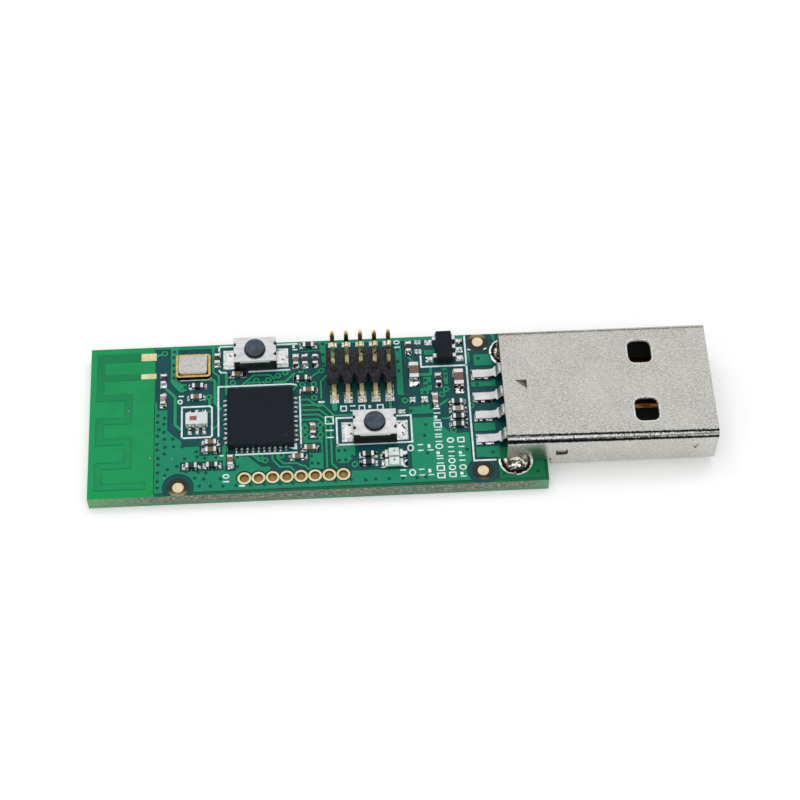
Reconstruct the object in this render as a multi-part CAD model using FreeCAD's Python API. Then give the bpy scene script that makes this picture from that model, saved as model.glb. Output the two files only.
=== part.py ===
import FreeCAD, Part
import math
import os

# USB radio stick: an open circuit board with a printed antenna, a radio chip, two push buttons,
# a pin header and a folded USB plug. Millimetres.
# Origin: middle of the board's underside. +X points out of the plug's mouth, +Y to the header's
# edge, +Z up from the board.

# Board: four zones follow each other from the antenna's end to the plug's end
antenna_zone = 5.95
radio_zone = 15.45
service_zone = 13.3
plug_zone = 6.65
board_width = 16.0
board_thickness = 1.6
copper = 0.035
solder_film = 0.03

# Side holes
side_hole_count = 8
side_hole_pitch = 1.27
side_hole_radius = 0.425
side_hole_ring = 0.62
side_hole_x = 8.09
side_hole_y = 1.48

# Alignment discs
disc_radius = 0.5
disc_1_x = 2.15
disc_1_y = 0.8
disc_2_x = 0.8
disc_2_y = 1.25
disc_3_x = 1.25
disc_3_back_gap = 0.85

# Printed antenna: a meander of one trace width, fed at two lands by the radio zone
trace_width = 0.55
feed_width = 0.8
antenna_left = 0.65
antenna_right = 3.8
antenna_open_end = 5.1
antenna_front_gap = 0.87
antenna_back_gap = 0.685
meander_narrow = 2.2
feed_pitch = 2.13
feed_land_length = 1.4
feed_land_overlap = 0.1
feed_land_rise = 0.01

# Radio chip
chip_side = 6.0
chip_height = 0.9
chip_pins_per_side = 10
chip_pitch = 0.5
chip_pin_width = 0.24
chip_pin_length = 0.4
chip_pin_height = 0.2
chip_x = 9.66
chip_y = 7.5
chip_pad_side = 4.4
chip_land_reach = 0.4

# Crystal
crystal_length = 3.2
crystal_width = 2.5
crystal_base_height = 0.5
crystal_lid_height = 0.25
crystal_rim = 0.26
crystal_corner = 0.3
crystal_lid_edge = 0.07
crystal_land_length = 1.0
crystal_land_width = 0.8
crystal_x = 3.53
crystal_back_gap = 2.55

# Balun filter
balun_length = 2.0
balun_width = 1.25
balun_height = 0.75
balun_pins_per_side = 3
balun_pitch = 0.65
balun_pin_width = 0.36
balun_pin_wrap = 0.2
balun_land_length = 0.9
balun_land_reach = 0.25
balun_x = 3.85
balun_y = 7.6

# Push buttons
switch_length = 3.9
switch_width = 2.6
switch_base_height = 1.5
switch_floor = 0.5
switch_well_radius = 1.22
switch_stand = 0.06
cover_sheet = 0.15
cover_lip_length = 2.75
cover_lip_drop = 0.42
cover_notch_radius = 0.2
cover_notch_spread = 0.575
cover_notch_inset = 0.03
plunger_radius = 0.93
plunger_gap = 0.05
plunger_rise = 0.36
plunger_edge = 0.06
plunger_flange = 0.2
plunger_flange_height = 0.5
dome_radius = 1.12
dome_sheet = 0.05
rest_gap = 0.02
terminal_sheet = 0.15
terminal_width = 1.5
terminal_reach = 0.85
terminal_height = 0.75
switch_land_length = 1.05
switch_land_width = 2.1
button_1_x = 9.3
button_1_back_gap = 1.75
button_2_x = 4.55
button_2_y = 5.87

# Debug header
header_columns = 5
header_pitch = 1.27
header_width = 3.4
header_end = 0.6
header_stand = 0.7
header_height = 1.07
header_notch = 0.5
header_notch_half = 0.27
pin_side = 0.4
pin_top = 5.95
pin_point = 0.3
pin_point_side = 0.2
pin_reach = 1.97
pin_bend_run = 0.35
header_land_width = 0.8
header_land_length = 2.4
header_land_outer = 3.35
header_x = 3.55
header_back_gap = 3.65

# Voltage regulator
regulator_length = 2.9
regulator_width = 1.6
regulator_height = 1.0
regulator_draft = 0.12
regulator_stand = 0.08
regulator_lead_width = 0.4
regulator_lead_sheet = 0.15
regulator_lead_pitch = 0.95
regulator_lead_reach = 0.62
regulator_lead_foot = 0.34
regulator_lead_root = 0.2
regulator_lead_slope = 0.08
regulator_land_length = 0.72
regulator_land_width = 0.62
regulator_plug_gap = 4.89
regulator_back_gap = 1.65

# Chip capacitors, resistors and coils
small_length = 1.0
small_width = 0.5
small_height = 0.35
large_length = 1.65
large_width = 0.88
large_height = 0.8
cap_share = 0.24
cap_wall = 0.02
land_margin = 0.05
fillet_run = 0.28
fillet_rise = 0.75
fillet_waist = 0.33

# Indicator lights
lamp_length = 1.6
lamp_width = 0.78
lamp_base_height = 0.2
lamp_lens_length = 1.05
lamp_lens_height = 0.33
lamp_lens_slope = 0.08
lamp_cap_gap = 0.03
lamp_land_length = 0.66
lamp_land_reach = 0.1
lamp_x = 6.15
lamp_pitch = 0.96
lamp_front_y = 2.34

# USB plug
plug_length = 18.9
plug_width = 12.0
plug_height = 4.5
plug_sheet = 0.3
plug_corner = 0.62
plug_overlap = 3.7
plug_drop = 1.0
plug_step_gap = 0.3
plug_seat = 0.02
slit_width = 0.25
slit_rise = 0.4
window_length = 2.2
window_width = 2.5
window_corner = 0.45
window_spread = 3.1
window_tip_gap = 6.2
lance_length = 1.05
lance_rear_gap = 1.1
lance_tilt = 24.0
side_tab_length = 1.05
side_tab_height = 0.85
side_tab_rear_gap = 4.4
side_tab_rise = 0.85
side_tab_slot = 0.12
side_tab_tilt = 16.0
side_tab_corner = 0.25
mark_side = 0.7
mark_tip_gap = 1.95
mark_rise = 1.05
mark_depth = 0.1
dimple_radius = 0.5
dimple_depth = 0.04
dimple_rear_gap = 6.4
dimple_side = 1.25
seam_gap = 0.04
seam_key_length = 1.6
seam_key_width = 1.2
seam_key_waist = 0.6
leg_width = 1.1
leg_x = 0.85
leg_short = 0.12
leg_corner = 0.3
leg_hole_length = 1.5
leg_hole_width = 0.7
leg_land_radius = 1.55
leg_solder_lip = 0.1
leg_solder_waist = 0.85
leg_solder_waist_rise = 0.22
leg_solder_crown = 0.45
leg_solder_rise = 0.6

# USB insulator and contacts
insulator_gap = 0.03
insulator_rear = 0.65
insulator_block = 6.0
tongue_top = 1.1
tongue_tip_gap = 0.7
tongue_side_gap = 0.15
contact_sheet = 0.2
contact_width = 1.0
contact_spots = (-3.5, -1.0, 1.0, 3.5)
contact_tip_gap = (1.4, 2.4, 2.4, 1.4)
contact_fit = 0.01
contact_drop_start = 0.02
contact_drop_run = 0.2
contact_drop_end = 0.3
shoulder_width = 1.15
tail_width = 0.8
tail_reach = 2.45
tail_foot = 1.55
tail_neck = 0.42
tail_bend = 0.12
shoulder_reach = 0.3
shoulder_slope = 0.1
tail_land_length = 1.75
tail_land_width = 1.15
tail_land_margin = 0.12
tail_solder_inset = 0.05
tail_solder_rise = 0.16
insulator_board_gap = 0.1

# Lands without a part on them: place in the service zone, length and width
bare_lands = (
    (8.95, board_width - 0.65, 0.62, 0.5),
    (8.95, board_width - 1.7, 0.65, 0.6),
    (8.15, board_width - 6.97, 0.6, 0.65),
    (9.25, board_width - 6.95, 0.7, 0.7),
    (7.12, button_2_y + 1.93, 0.75, 0.5),
)

# Worked out from the sizes above
board_length = antenna_zone + radio_zone + service_zone + plug_zone
radio_start = antenna_zone
service_start = radio_start + radio_zone
plug_start = service_start + service_zone
land_top = board_thickness + copper
seat = land_top + solder_film
plug_rear = board_length - plug_overlap
plug_tip = plug_rear + plug_length
plug_centre = board_width / 2
plug_bottom = board_thickness - plug_drop
plug_top = plug_bottom + plug_height


def at(x, y, z=0.0):
    """A point given from the antenna end and the board's front edge."""
    return FreeCAD.Vector(x - board_length / 2, y - board_width / 2, z)


def block(x, y, z, length, width, height):
    """A box centred on x and y that stands on height z."""
    return Part.makeBox(length, width, height, at(x - length / 2, y - width / 2, z))


def round_bar(x, y, z, radius, height):
    return Part.makeCylinder(radius, height, at(x, y, z))


def prism(points, direction):
    """A solid from a closed polygon moved along a direction."""
    closed = list(points) + [points[0]]
    return Part.Face(Part.makePolygon(closed)).extrude(direction)


def rounded_edges(points, radii):
    """Lines and tangent arcs along a flat polyline, with one radius for each inner corner."""
    edges = []
    start = points[0]
    for index in range(1, len(points) - 1):
        corner = points[index]
        back = (points[index - 1] - corner).normalize()
        ahead = (points[index + 1] - corner).normalize()
        radius = radii[index - 1]
        half = back.getAngle(ahead) / 2
        if radius <= 0:
            edges.append(Part.LineSegment(start, corner).toShape())
            start = corner
            continue
        reach = radius / math.tan(half)
        middle_line = (back + ahead).normalize()
        centre = corner + middle_line * (radius / math.sin(half))
        first = corner + back * reach
        last = corner + ahead * reach
        middle = centre - middle_line * radius
        edges.append(Part.LineSegment(start, first).toShape())
        edges.append(Part.Arc(first, middle, last).toShape())
        start = last
    edges.append(Part.LineSegment(start, points[-1]).toShape())
    return edges


def side_line(points, offset):
    """A flat polyline moved sideways, with mitred corners. Points are pairs."""
    moved = []
    normals = []
    for (u0, v0), (u1, v1) in zip(points, points[1:]):
        length = math.hypot(u1 - u0, v1 - v0)
        normals.append((-(v1 - v0) / length, (u1 - u0) / length))
    for index, (u, v) in enumerate(points):
        before = normals[max(index - 1, 0)]
        after = normals[min(index, len(normals) - 1)]
        scale = offset / (1 + before[0] * after[0] + before[1] * after[1])
        moved.append((u + (before[0] + after[0]) * scale, v + (before[1] + after[1]) * scale))
    return moved


def ribbon(points, thickness, bend, plane, direction):
    """A bent strip: a line of pairs thickened in its plane and moved along a direction."""
    turns = []
    for (u0, v0), (u1, v1), (u2, v2) in zip(points, points[1:], points[2:]):
        turns.append((u1 - u0) * (v2 - v1) - (v1 - v0) * (u2 - u1))
    outer = bend + thickness if bend > 0 else 0
    left_radii = [bend if turn > 0 else outer for turn in turns]
    right_radii = [outer if turn > 0 else bend for turn in turns]
    left = [plane(u, v) for u, v in side_line(points, thickness / 2)]
    right = [plane(u, v) for u, v in side_line(points, -thickness / 2)]
    edges = rounded_edges(left, left_radii)
    edges.append(Part.LineSegment(left[-1], right[-1]).toShape())
    edges += rounded_edges(right[::-1], right_radii[::-1])
    edges.append(Part.LineSegment(right[0], left[0]).toShape())
    return Part.Face(Part.Wire(Part.__sortEdges__(edges))).extrude(direction)


def long_edges(shape, axis):
    """The straight edges of a shape that run along one axis."""
    found = []
    for edge in shape.Edges:
        span = edge.BoundBox
        sizes = (span.XLength, span.YLength, span.ZLength)
        if sizes[axis] > 1e-6 and sum(sizes) - sizes[axis] < 1e-6:
            found.append(edge)
    return found


def top_edges(shape):
    """The edges that lie in a shape's highest flat face."""
    high = shape.BoundBox.ZMax
    return [edge for edge in shape.Edges if edge.BoundBox.ZMin > high - 1e-6]


def save(name, *solids):
    shape = solids[0] if len(solids) == 1 else Part.makeCompound(list(solids))
    shape.exportStep("parts/" + name + ".step")


# Circuit board

leg_spot_x = plug_rear + leg_x
leg_side = (plug_width - plug_sheet) / 2
leg_spots_y = (plug_centre - leg_side, plug_centre + leg_side)
side_holes = []
for index in range(side_hole_count):
    side_holes.append((radio_start + side_hole_x + index * side_hole_pitch, side_hole_y))


def circuit_board():
    board = Part.makeBox(board_length, board_width, board_thickness, at(0, 0))
    cuts = []
    for x, y in side_holes:
        cuts.append(round_bar(x, y, -1, side_hole_radius, board_thickness + 2))
    for y in leg_spots_y:
        cuts.append(block(leg_spot_x, y, -1, leg_hole_length, leg_hole_width, board_thickness + 2))
    return board.cut(Part.makeCompound(cuts))


def hole_rings():
    """A ring of plated copper round the mouth of each side hole."""
    rings = []
    for x, y in side_holes:
        ring = round_bar(x, y, board_thickness, side_hole_ring, copper)
        rings.append(ring.cut(round_bar(x, y, 0, side_hole_radius, land_top + 1)))
    return rings


def alignment_discs():
    spots = (
        (radio_start + disc_1_x, disc_1_y),
        (plug_start + disc_2_x, disc_2_y),
        (plug_start + disc_3_x, board_width - disc_3_back_gap),
    )
    return [round_bar(x, y, board_thickness, disc_radius, copper) for x, y in spots]


# Printed antenna

feed_land_end = antenna_zone + feed_land_overlap
feed_land_start = feed_land_end - feed_land_length
first_row = antenna_front_gap + trace_width / 2
feed_row = board_width - antenna_back_gap - feed_width / 2
meander_wide = (feed_row - first_row - 3 * meander_narrow - feed_pitch) / 2
meander_rows = [first_row]
for pitch in (meander_narrow, meander_wide, meander_narrow, meander_wide, meander_narrow, feed_pitch):
    meander_rows.append(meander_rows[-1] + pitch)


def flat(u, v):
    return at(u, v, board_thickness)


def printed_antenna():
    """The meander, from its feed at the back round to its open end at the front."""
    left = antenna_left + trace_width / 2
    right = antenna_right - trace_width / 2
    rows = meander_rows
    meander = [
        (left, rows[6]),
        (left, rows[4]),
        (right, rows[4]),
        (right, rows[3]),
        (left, rows[3]),
        (left, rows[2]),
        (right, rows[2]),
        (right, rows[1]),
        (left, rows[1]),
        (left, rows[0]),
        (antenna_open_end, rows[0]),
    ]
    up = FreeCAD.Vector(0, 0, copper)
    feed = [(feed_land_start, rows[6]), (antenna_left, rows[6])]
    branch = [(feed_land_start, rows[5]), (left, rows[5])]
    trace = ribbon(meander, trace_width, 0, flat, up)
    trace = trace.fuse(ribbon(feed, feed_width, 0, flat, up))
    trace = trace.fuse(ribbon(branch, trace_width, 0, flat, up))
    return trace.removeSplitter()


def antenna_lands():
    """The bare ends of the feed and of its branch."""
    middle = (feed_land_start + feed_land_end) / 2
    height = copper + feed_land_rise
    feed = block(middle, meander_rows[6], board_thickness, feed_land_length, feed_width, height)
    branch = block(middle, meander_rows[5], board_thickness, feed_land_length, trace_width, height)
    return [feed, branch]


# Chip parts of two ends: a body and two caps that wrap its ends

class ChipPart:
    """A capacitor, resistor or coil with its caps, its solder lands and its solder."""

    def __init__(self, x, y, turned, length=small_length, width=small_width, height=small_height):
        self.spot = (x, y)
        self.turned = turned
        self.size = (length, width, height)

    def place(self, shape):
        if self.turned:
            shape.rotate(FreeCAD.Vector(0, 0, 0), FreeCAD.Vector(0, 0, 1), 90)
        shape.translate(at(self.spot[0], self.spot[1], seat))
        return shape

    def fillet_run(self):
        return fillet_run * self.size[1] / small_width

    def core(self):
        length, width, height = self.size
        return Part.makeBox(
            length - 2 * cap_wall, width - 2 * cap_wall, height - 2 * cap_wall,
            FreeCAD.Vector(-length / 2 + cap_wall, -width / 2 + cap_wall, cap_wall))

    def body(self):
        return self.place(self.core())

    def caps(self):
        length, width, height = self.size
        inner = self.core()
        found = []
        reach = length * cap_share
        for start in (-length / 2, length / 2 - reach):
            cap = Part.makeBox(reach, width, height, FreeCAD.Vector(start, -width / 2, 0))
            found.append(self.place(cap.cut(inner)))
        return found

    def solder(self):
        """A hollow wedge of solder from each land up the cap's end."""
        length, width, height = self.size
        rise = height * fillet_rise
        run = self.fillet_run()
        found = []
        for sign in (-1, 1):
            profile = [(0, 0), (run, 0), (run * fillet_waist, rise * fillet_waist), (0, rise)]
            corners = [FreeCAD.Vector(sign * (length / 2 + u), -width / 2, v) for u, v in profile]
            found.append(self.place(prism(corners, FreeCAD.Vector(0, width, 0))))
        return found

    def lands(self):
        length, width, height = self.size
        run = self.fillet_run() + land_margin
        reach = length * cap_share + run
        found = []
        for start in (-length / 2 - run, length / 2 - length * cap_share):
            land = Part.makeBox(
                reach, width + 2 * land_margin, copper + solder_film,
                FreeCAD.Vector(start, -width / 2 - land_margin, -copper - solder_film))
            found.append(self.place(land))
        return found


# The parts right of the chip stand in the room that the header leaves

chip_land_end = radio_start + chip_x + chip_side / 2 + chip_land_reach
switch_land_end = radio_start + button_1_x + switch_length / 2 + rest_gap + switch_land_length
header_land_reach = (header_columns - 1) / 2 * header_pitch + header_land_width / 2
header_land_start = service_start + header_x - header_land_reach


def beside_chip(share):
    """A place between the chip's lands and the header's, by its share of the room."""
    return chip_land_end + share * (header_land_start - chip_land_end)


def in_row(index, share):
    """The centre of one of three turned parts between the button's land and the header's.

    The share is of the room that the three leave free.
    """
    room = header_land_start - switch_land_end - 3 * small_width
    return switch_land_end + (index + 0.5) * small_width + share * room


brown_parts = [
    ChipPart(radio_start + 3.8, board_width - 5.8, False),
    ChipPart(radio_start + 5.1, 5.3, False),
    ChipPart(radio_start + 5.1, 4.5, False),
    ChipPart(radio_start + 6.85, 3.3, True),
    ChipPart(radio_start + 7.6, board_width - 3.5, False),
    ChipPart(radio_start + 12.95, 3.4, False),
    ChipPart(radio_start + 14.05, 4.3, False),
    ChipPart(radio_start + 14.38, 6.25, True),
    ChipPart(beside_chip(0.347), board_width - 5.5, False),
    ChipPart(in_row(0, 0.192), board_width - 2.2, True),
]
dark_parts = [
    ChipPart(radio_start + 0.77, board_width - 3.75, True),
    ChipPart(radio_start + 3.92, board_width - 4.6, False),
    ChipPart(radio_start + 3.35, 2.9, False),
    ChipPart(radio_start + 5.2, 2.9, False),
    ChipPart(radio_start + 5.73, board_width - 1.7, True),
    ChipPart(radio_start + 13.53, board_width - 4.2, False),
    ChipPart(in_row(1, 0.348), board_width - 2.2, True),
    ChipPart(in_row(2, 0.549), board_width - 2.2, True),
    ChipPart(beside_chip(0.38), board_width - 0.55, False),
    ChipPart(service_start + 3.85, 3.35, False),
    ChipPart(service_start + 3.85, 2.5, False),
    ChipPart(service_start + 8.05, board_width - 1.25, True),
    ChipPart(service_start + 10.65, board_width - 4.9, True),
    ChipPart(plug_start - 1.1, board_width - 7.45, False),
    ChipPart(plug_start - 1.05, board_width - 9.05, False),
    ChipPart(plug_start - 1.1, board_width - 9.9, False),
]
light_parts = [
    ChipPart(radio_start + 0.75, board_width - 5.95, True),
    ChipPart(service_start + 10.22, board_width - 7.05, True),
    ChipPart(plug_start - 1.05, board_width - 8.25, False),
]
large_parts = [
    ChipPart(service_start + 8.42, board_width - 4.15, True, large_length, large_width, large_height),
    ChipPart(plug_start - 0.8, board_width - 5.1, True, large_length, large_width, large_height),
]


# Radio chip

chip_centre_x = radio_start + chip_x


def chip_side_boxes(reach_in, reach_out, width, z, height):
    """One box at each terminal place, measured from the chip's edge."""
    boxes = []
    middle = (chip_pins_per_side - 1) / 2
    length = reach_in + reach_out
    out = chip_side / 2 + (reach_out - reach_in) / 2
    for index in range(chip_pins_per_side):
        along = (index - middle) * chip_pitch
        for sign in (-1, 1):
            boxes.append(block(chip_centre_x + sign * out, chip_y + along, z, length, width, height))
            boxes.append(block(chip_centre_x + along, chip_y + sign * out, z, width, length, height))
    return boxes


def chip_terminals():
    pins = chip_side_boxes(chip_pin_length, 0, chip_pin_width, seat, chip_pin_height)
    pad = block(chip_centre_x, chip_y, seat, chip_pad_side, chip_pad_side, chip_pin_height)
    return pins + [pad]


def chip_body():
    body = block(chip_centre_x, chip_y, seat, chip_side, chip_side, chip_height)
    return body.cut(Part.makeCompound(chip_terminals()))


# Crystal and balun filter

crystal_spot = (radio_start + crystal_x, board_width - crystal_back_gap)
balun_spot = (radio_start + balun_x, balun_y)


def crystal_base():
    base = block(*crystal_spot, seat, crystal_length, crystal_width, crystal_base_height)
    return base.makeFillet(crystal_corner, long_edges(base, 2))


def crystal_lid():
    length = crystal_length - 2 * crystal_rim
    width = crystal_width - 2 * crystal_rim
    lid = block(*crystal_spot, seat + crystal_base_height, length, width, crystal_lid_height)
    lid = lid.makeFillet(crystal_corner, long_edges(lid, 2))
    return lid.makeChamfer(crystal_lid_edge, top_edges(lid))


def balun_pin_row(sign, wall):
    """Terminals that wrap one long side of the balun, from under it to its top."""
    pins = []
    middle = (balun_pins_per_side - 1) / 2
    x, y = balun_spot
    edge = y + sign * balun_width / 2
    for index in range(balun_pins_per_side):
        spot = x + (index - middle) * balun_pitch
        inset = sign * balun_pin_wrap / 2
        pin = block(spot, edge - inset, seat, balun_pin_width, balun_pin_wrap, balun_height)
        pins.append(pin.cut(wall))
    return pins


def balun_core():
    x, y = balun_spot
    return block(x, y, seat + cap_wall, balun_length, balun_width - 2 * cap_wall,
                 balun_height - 2 * cap_wall)


def balun_terminals():
    core = balun_core()
    return balun_pin_row(-1, core) + balun_pin_row(1, core)


# Push buttons

class PushButton:
    """A low push button: a moulded base, a sheet cover, a round plunger and a snap dome."""

    def __init__(self, x, y):
        self.spot = (x, y)
        self.floor = board_thickness + switch_stand
        self.rim = self.floor + switch_base_height
        self.top = self.rim + cover_sheet

    def round(self, z, radius, height):
        return round_bar(self.spot[0], self.spot[1], z, radius, height)

    def box(self, z, length, width, height):
        return block(self.spot[0], self.spot[1], z, length, width, height)

    def base(self):
        body = self.box(self.floor, switch_length, switch_width, switch_base_height)
        well = self.round(self.floor + switch_floor, switch_well_radius, switch_base_height)
        body = body.cut(well)
        recess = self.box(self.rim - cover_lip_drop, cover_lip_length, switch_width, cover_lip_drop)
        inner = self.box(
            self.rim - cover_lip_drop, cover_lip_length, switch_width - 2 * cover_sheet, cover_lip_drop)
        body = body.cut(recess.cut(inner))
        return body.cut(Part.makeCompound(self.terminals()))

    def cover(self):
        """A sheet with four half-round notches and a lip folded down at the front and the back."""
        plate = self.box(self.rim, switch_length, switch_width, cover_sheet)
        lips = self.box(self.rim - cover_lip_drop, cover_lip_length, switch_width, cover_lip_drop)
        between = self.box(
            self.rim - cover_lip_drop, cover_lip_length, switch_width - 2 * cover_sheet, cover_lip_drop)
        plate = plate.fuse(lips.cut(between)).removeSplitter()
        cuts = [self.round(self.rim - 1, plunger_radius + plunger_gap, 2)]
        for sign_x in (-1, 1):
            for sign_y in (-1, 1):
                x = self.spot[0] + sign_x * (switch_length / 2 - cover_notch_inset)
                y = self.spot[1] + sign_y * cover_notch_spread
                cuts.append(round_bar(x, y, self.rim - 1, cover_notch_radius, 2))
        return plate.cut(Part.makeCompound(cuts))

    def plunger(self):
        """A round head above the cover and a flange under it that rests on the dome."""
        flange_bottom = self.rim - rest_gap - plunger_flange_height
        head_top = self.top + plunger_rise
        head = self.round(flange_bottom, plunger_radius, head_top - flange_bottom)
        head = head.makeChamfer(plunger_edge, top_edges(head))
        flange = self.round(flange_bottom, plunger_radius + plunger_flange, plunger_flange_height)
        return head.fuse(flange).removeSplitter()

    def dome(self):
        """A shallow cone spring that stands on the well's floor under the plunger."""
        low = self.floor + switch_floor
        high = self.rim - plunger_flange_height - 2 * rest_gap
        profile = [
            (dome_radius, low),
            (0, high),
            (0, high - dome_sheet),
            (dome_radius - 2 * dome_sheet, low),
        ]
        x, y = self.spot
        corners = [at(x + reach, y, z) for reach, z in profile]
        face = Part.Face(Part.makePolygon(corners + [corners[0]]))
        return face.revolve(at(x, y, 0), FreeCAD.Vector(0, 0, 1), 360)

    def terminals(self):
        """Bent strips, one at each end: up the base's end wall and out over the land."""
        found = []
        x, y = self.spot
        for sign in (-1, 1):
            wall = switch_length / 2 - terminal_sheet / 2

            def plane(u, v, sign=sign):
                return at(x + sign * u, y - terminal_width / 2, v)

            path = [
                (wall, seat + terminal_height),
                (wall, seat + terminal_sheet / 2),
                (switch_length / 2 + terminal_reach, seat + terminal_sheet / 2),
            ]
            width = FreeCAD.Vector(0, terminal_width, 0)
            found.append(ribbon(path, terminal_sheet, 0, plane, width))
        return found

    def lands(self):
        found = []
        for sign in (-1, 1):
            x = self.spot[0] + sign * (switch_length / 2 + switch_land_length / 2 + rest_gap)
            found.append(block(x, self.spot[1], board_thickness, switch_land_length,
                               switch_land_width, copper + solder_film))
        return found


button_1 = PushButton(radio_start + button_1_x, board_width - button_1_back_gap)
button_2 = PushButton(service_start + button_2_x, button_2_y)


# Debug header

header_spot = (service_start + header_x, board_width - header_back_gap)
header_bottom = board_thickness + header_stand


def header_columns_x():
    middle = (header_columns - 1) / 2
    return [header_spot[0] + (index - middle) * header_pitch for index in range(header_columns)]


def header_pin(x, sign):
    """A square pin: out over its land, up through the body and to a blunt point.

    Its bend is a short slope under the body.
    """
    x_start = x - pin_side / 2

    def plane(u, v):
        return at(x_start, header_spot[1] + sign * u, v)

    row = header_pitch / 2
    path = [
        (row + pin_reach, seat + pin_side / 2),
        (row + pin_bend_run, seat + pin_side / 2),
        (row, seat + pin_side / 2 + pin_bend_run),
        (row, board_thickness + pin_top - pin_point),
    ]
    pin = ribbon(path, pin_side, 0, plane, FreeCAD.Vector(pin_side, 0, 0))
    y = header_spot[1] + sign * row
    sections = []
    for side, z in ((pin_side, 0.0), (pin_point_side, pin_point)):
        corners = [(-1, -1), (1, -1), (1, 1), (-1, 1), (-1, -1)]
        height = board_thickness + pin_top - pin_point + z
        outline = [at(x + a * side / 2, y + b * side / 2, height) for a, b in corners]
        sections.append(Part.makePolygon(outline))
    return pin.fuse(Part.makeLoft(sections, True)).removeSplitter()


def header_pins():
    return [header_pin(x, sign) for x in header_columns_x() for sign in (-1, 1)]


def header_body():
    """A bar with a V notch between columns on both long sides, on low feet."""
    x_low = header_columns_x()[0] - header_end
    x_high = header_columns_x()[-1] + header_end
    y_low = header_spot[1] - header_width / 2
    y_high = header_spot[1] + header_width / 2
    front = [(x_low, y_low)]
    for x in header_columns_x()[:-1]:
        gap = x + header_pitch / 2
        front.append((gap - header_notch_half, y_low))
        front.append((gap, y_low + header_notch))
        front.append((gap + header_notch_half, y_low))
    front.append((x_high, y_low))
    back = [(x, y_high - (y - y_low)) for x, y in front[::-1]]
    outline = [at(x, y, header_bottom) for x, y in front + back]
    body = prism(outline, FreeCAD.Vector(0, 0, header_height))
    holes = []
    for x in header_columns_x():
        for sign in (-1, 1):
            y = header_spot[1] + sign * header_pitch / 2
            holes.append(block(x, y, header_bottom - 1, pin_side, pin_side, header_height + 2))
    return body.cut(Part.makeCompound(holes))


def header_lands():
    found = []
    for x in header_columns_x():
        for sign in (-1, 1):
            y = header_spot[1] + sign * (header_land_outer - header_land_length / 2)
            found.append(block(x, y, board_thickness, header_land_width, header_land_length,
                               copper + solder_film))
    return found


# Voltage regulator

regulator_spot = (plug_rear - regulator_plug_gap, board_width - regulator_back_gap)
regulator_leads_at = ((-1, -1), (-1, 1), (1, -1), (1, 0), (1, 1))


def regulator_body():
    x, y = regulator_spot
    start = y - regulator_length / 2
    half = regulator_width / 2
    low = seat + regulator_stand
    high = low + regulator_height
    middle = (low + high) / 2
    outline = [
        at(x - half + regulator_draft, start, low),
        at(x + half - regulator_draft, start, low),
        at(x + half, start, middle),
        at(x + half - regulator_draft, start, high),
        at(x - half + regulator_draft, start, high),
        at(x - half, start, middle),
    ]
    body = prism(outline, FreeCAD.Vector(0, regulator_length, 0))
    return body.cut(Part.makeCompound(regulator_leads()))


def regulator_leads():
    """Gull-wing strips: two on one side and three on the other."""
    x, y = regulator_spot
    middle = seat + regulator_stand + regulator_height / 2
    half = regulator_width / 2
    foot = seat + regulator_lead_sheet / 2
    found = []
    for sign, row in regulator_leads_at:
        start = y + row * regulator_lead_pitch - regulator_lead_width / 2

        def plane(u, v, sign=sign, start=start):
            return at(x + sign * u, start, v)

        knee = half + regulator_lead_reach - regulator_lead_foot
        path = [
            (half - regulator_lead_root, middle),
            (knee - regulator_lead_slope, middle),
            (knee, foot),
            (half + regulator_lead_reach, foot),
        ]
        width = FreeCAD.Vector(0, regulator_lead_width, 0)
        found.append(ribbon(path, regulator_lead_sheet, 0, plane, width))
    return found


def regulator_lands():
    x, y = regulator_spot
    out = regulator_width / 2 + regulator_lead_reach
    found = []
    for sign, row in regulator_leads_at:
        spot = x + sign * (out - rest_gap)
        found.append(block(spot, y + row * regulator_lead_pitch, board_thickness,
                           regulator_land_length, regulator_land_width, copper + solder_film))
    return found


# Indicator lights

lamp_centre_x = service_start + lamp_x
lamp_spots = [(lamp_centre_x, lamp_front_y), (lamp_centre_x, lamp_front_y + lamp_pitch)]


def lamp_bases():
    length = lamp_length - 2 * cap_wall
    found = []
    for x, y in lamp_spots:
        found.append(block(x, y, seat + cap_wall, length, lamp_width, lamp_base_height))
    return found


def lamp_lenses():
    """Clear blocks with two sloped ends."""
    found = []
    low = seat + cap_wall + lamp_base_height
    high = low + lamp_lens_height
    half = lamp_lens_length / 2
    for x, y in lamp_spots:
        start = y - lamp_width / 2
        outline = [
            at(x - half, start, low),
            at(x + half, start, low),
            at(x + half - lamp_lens_slope, start, high),
            at(x - half + lamp_lens_slope, start, high),
        ]
        found.append(prism(outline, FreeCAD.Vector(0, lamp_width, 0)))
    return found


def lamp_terminals():
    found = []
    reach = (lamp_length - lamp_lens_length) / 2 - lamp_cap_gap
    core = Part.makeCompound(lamp_bases())
    for x, y in lamp_spots:
        for sign in (-1, 1):
            spot = x + sign * (lamp_length / 2 - reach / 2)
            cap = block(spot, y, seat, reach, lamp_width, lamp_base_height + 2 * cap_wall)
            found.append(cap.cut(core))
    return found


def lamp_lands():
    found = []
    for x, y in lamp_spots:
        for sign in (-1, 1):
            spot = x + sign * (lamp_length / 2 + lamp_land_reach)
            found.append(block(spot, y, board_thickness, lamp_land_length, lamp_width,
                               copper + solder_film))
    return found


# USB plug shell

shell_side_y = (plug_centre - plug_width / 2, plug_centre + plug_width / 2)
shell_step = board_length + plug_step_gap


def rounded_bar(x, z, length, width, height, radius):
    """A bar along X with four rounded long edges, centred on the plug."""
    bar = Part.makeBox(length, width, height, at(x, plug_centre - width / 2, z))
    return bar.makeFillet(radius, long_edges(bar, 0))


def window_bar(x, y, z):
    """A rounded window cutter that crosses one wall."""
    cutter = block(x, y, z, window_length, window_width, plug_sheet * 3)
    return cutter.makeFillet(window_corner, long_edges(cutter, 2))


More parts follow.
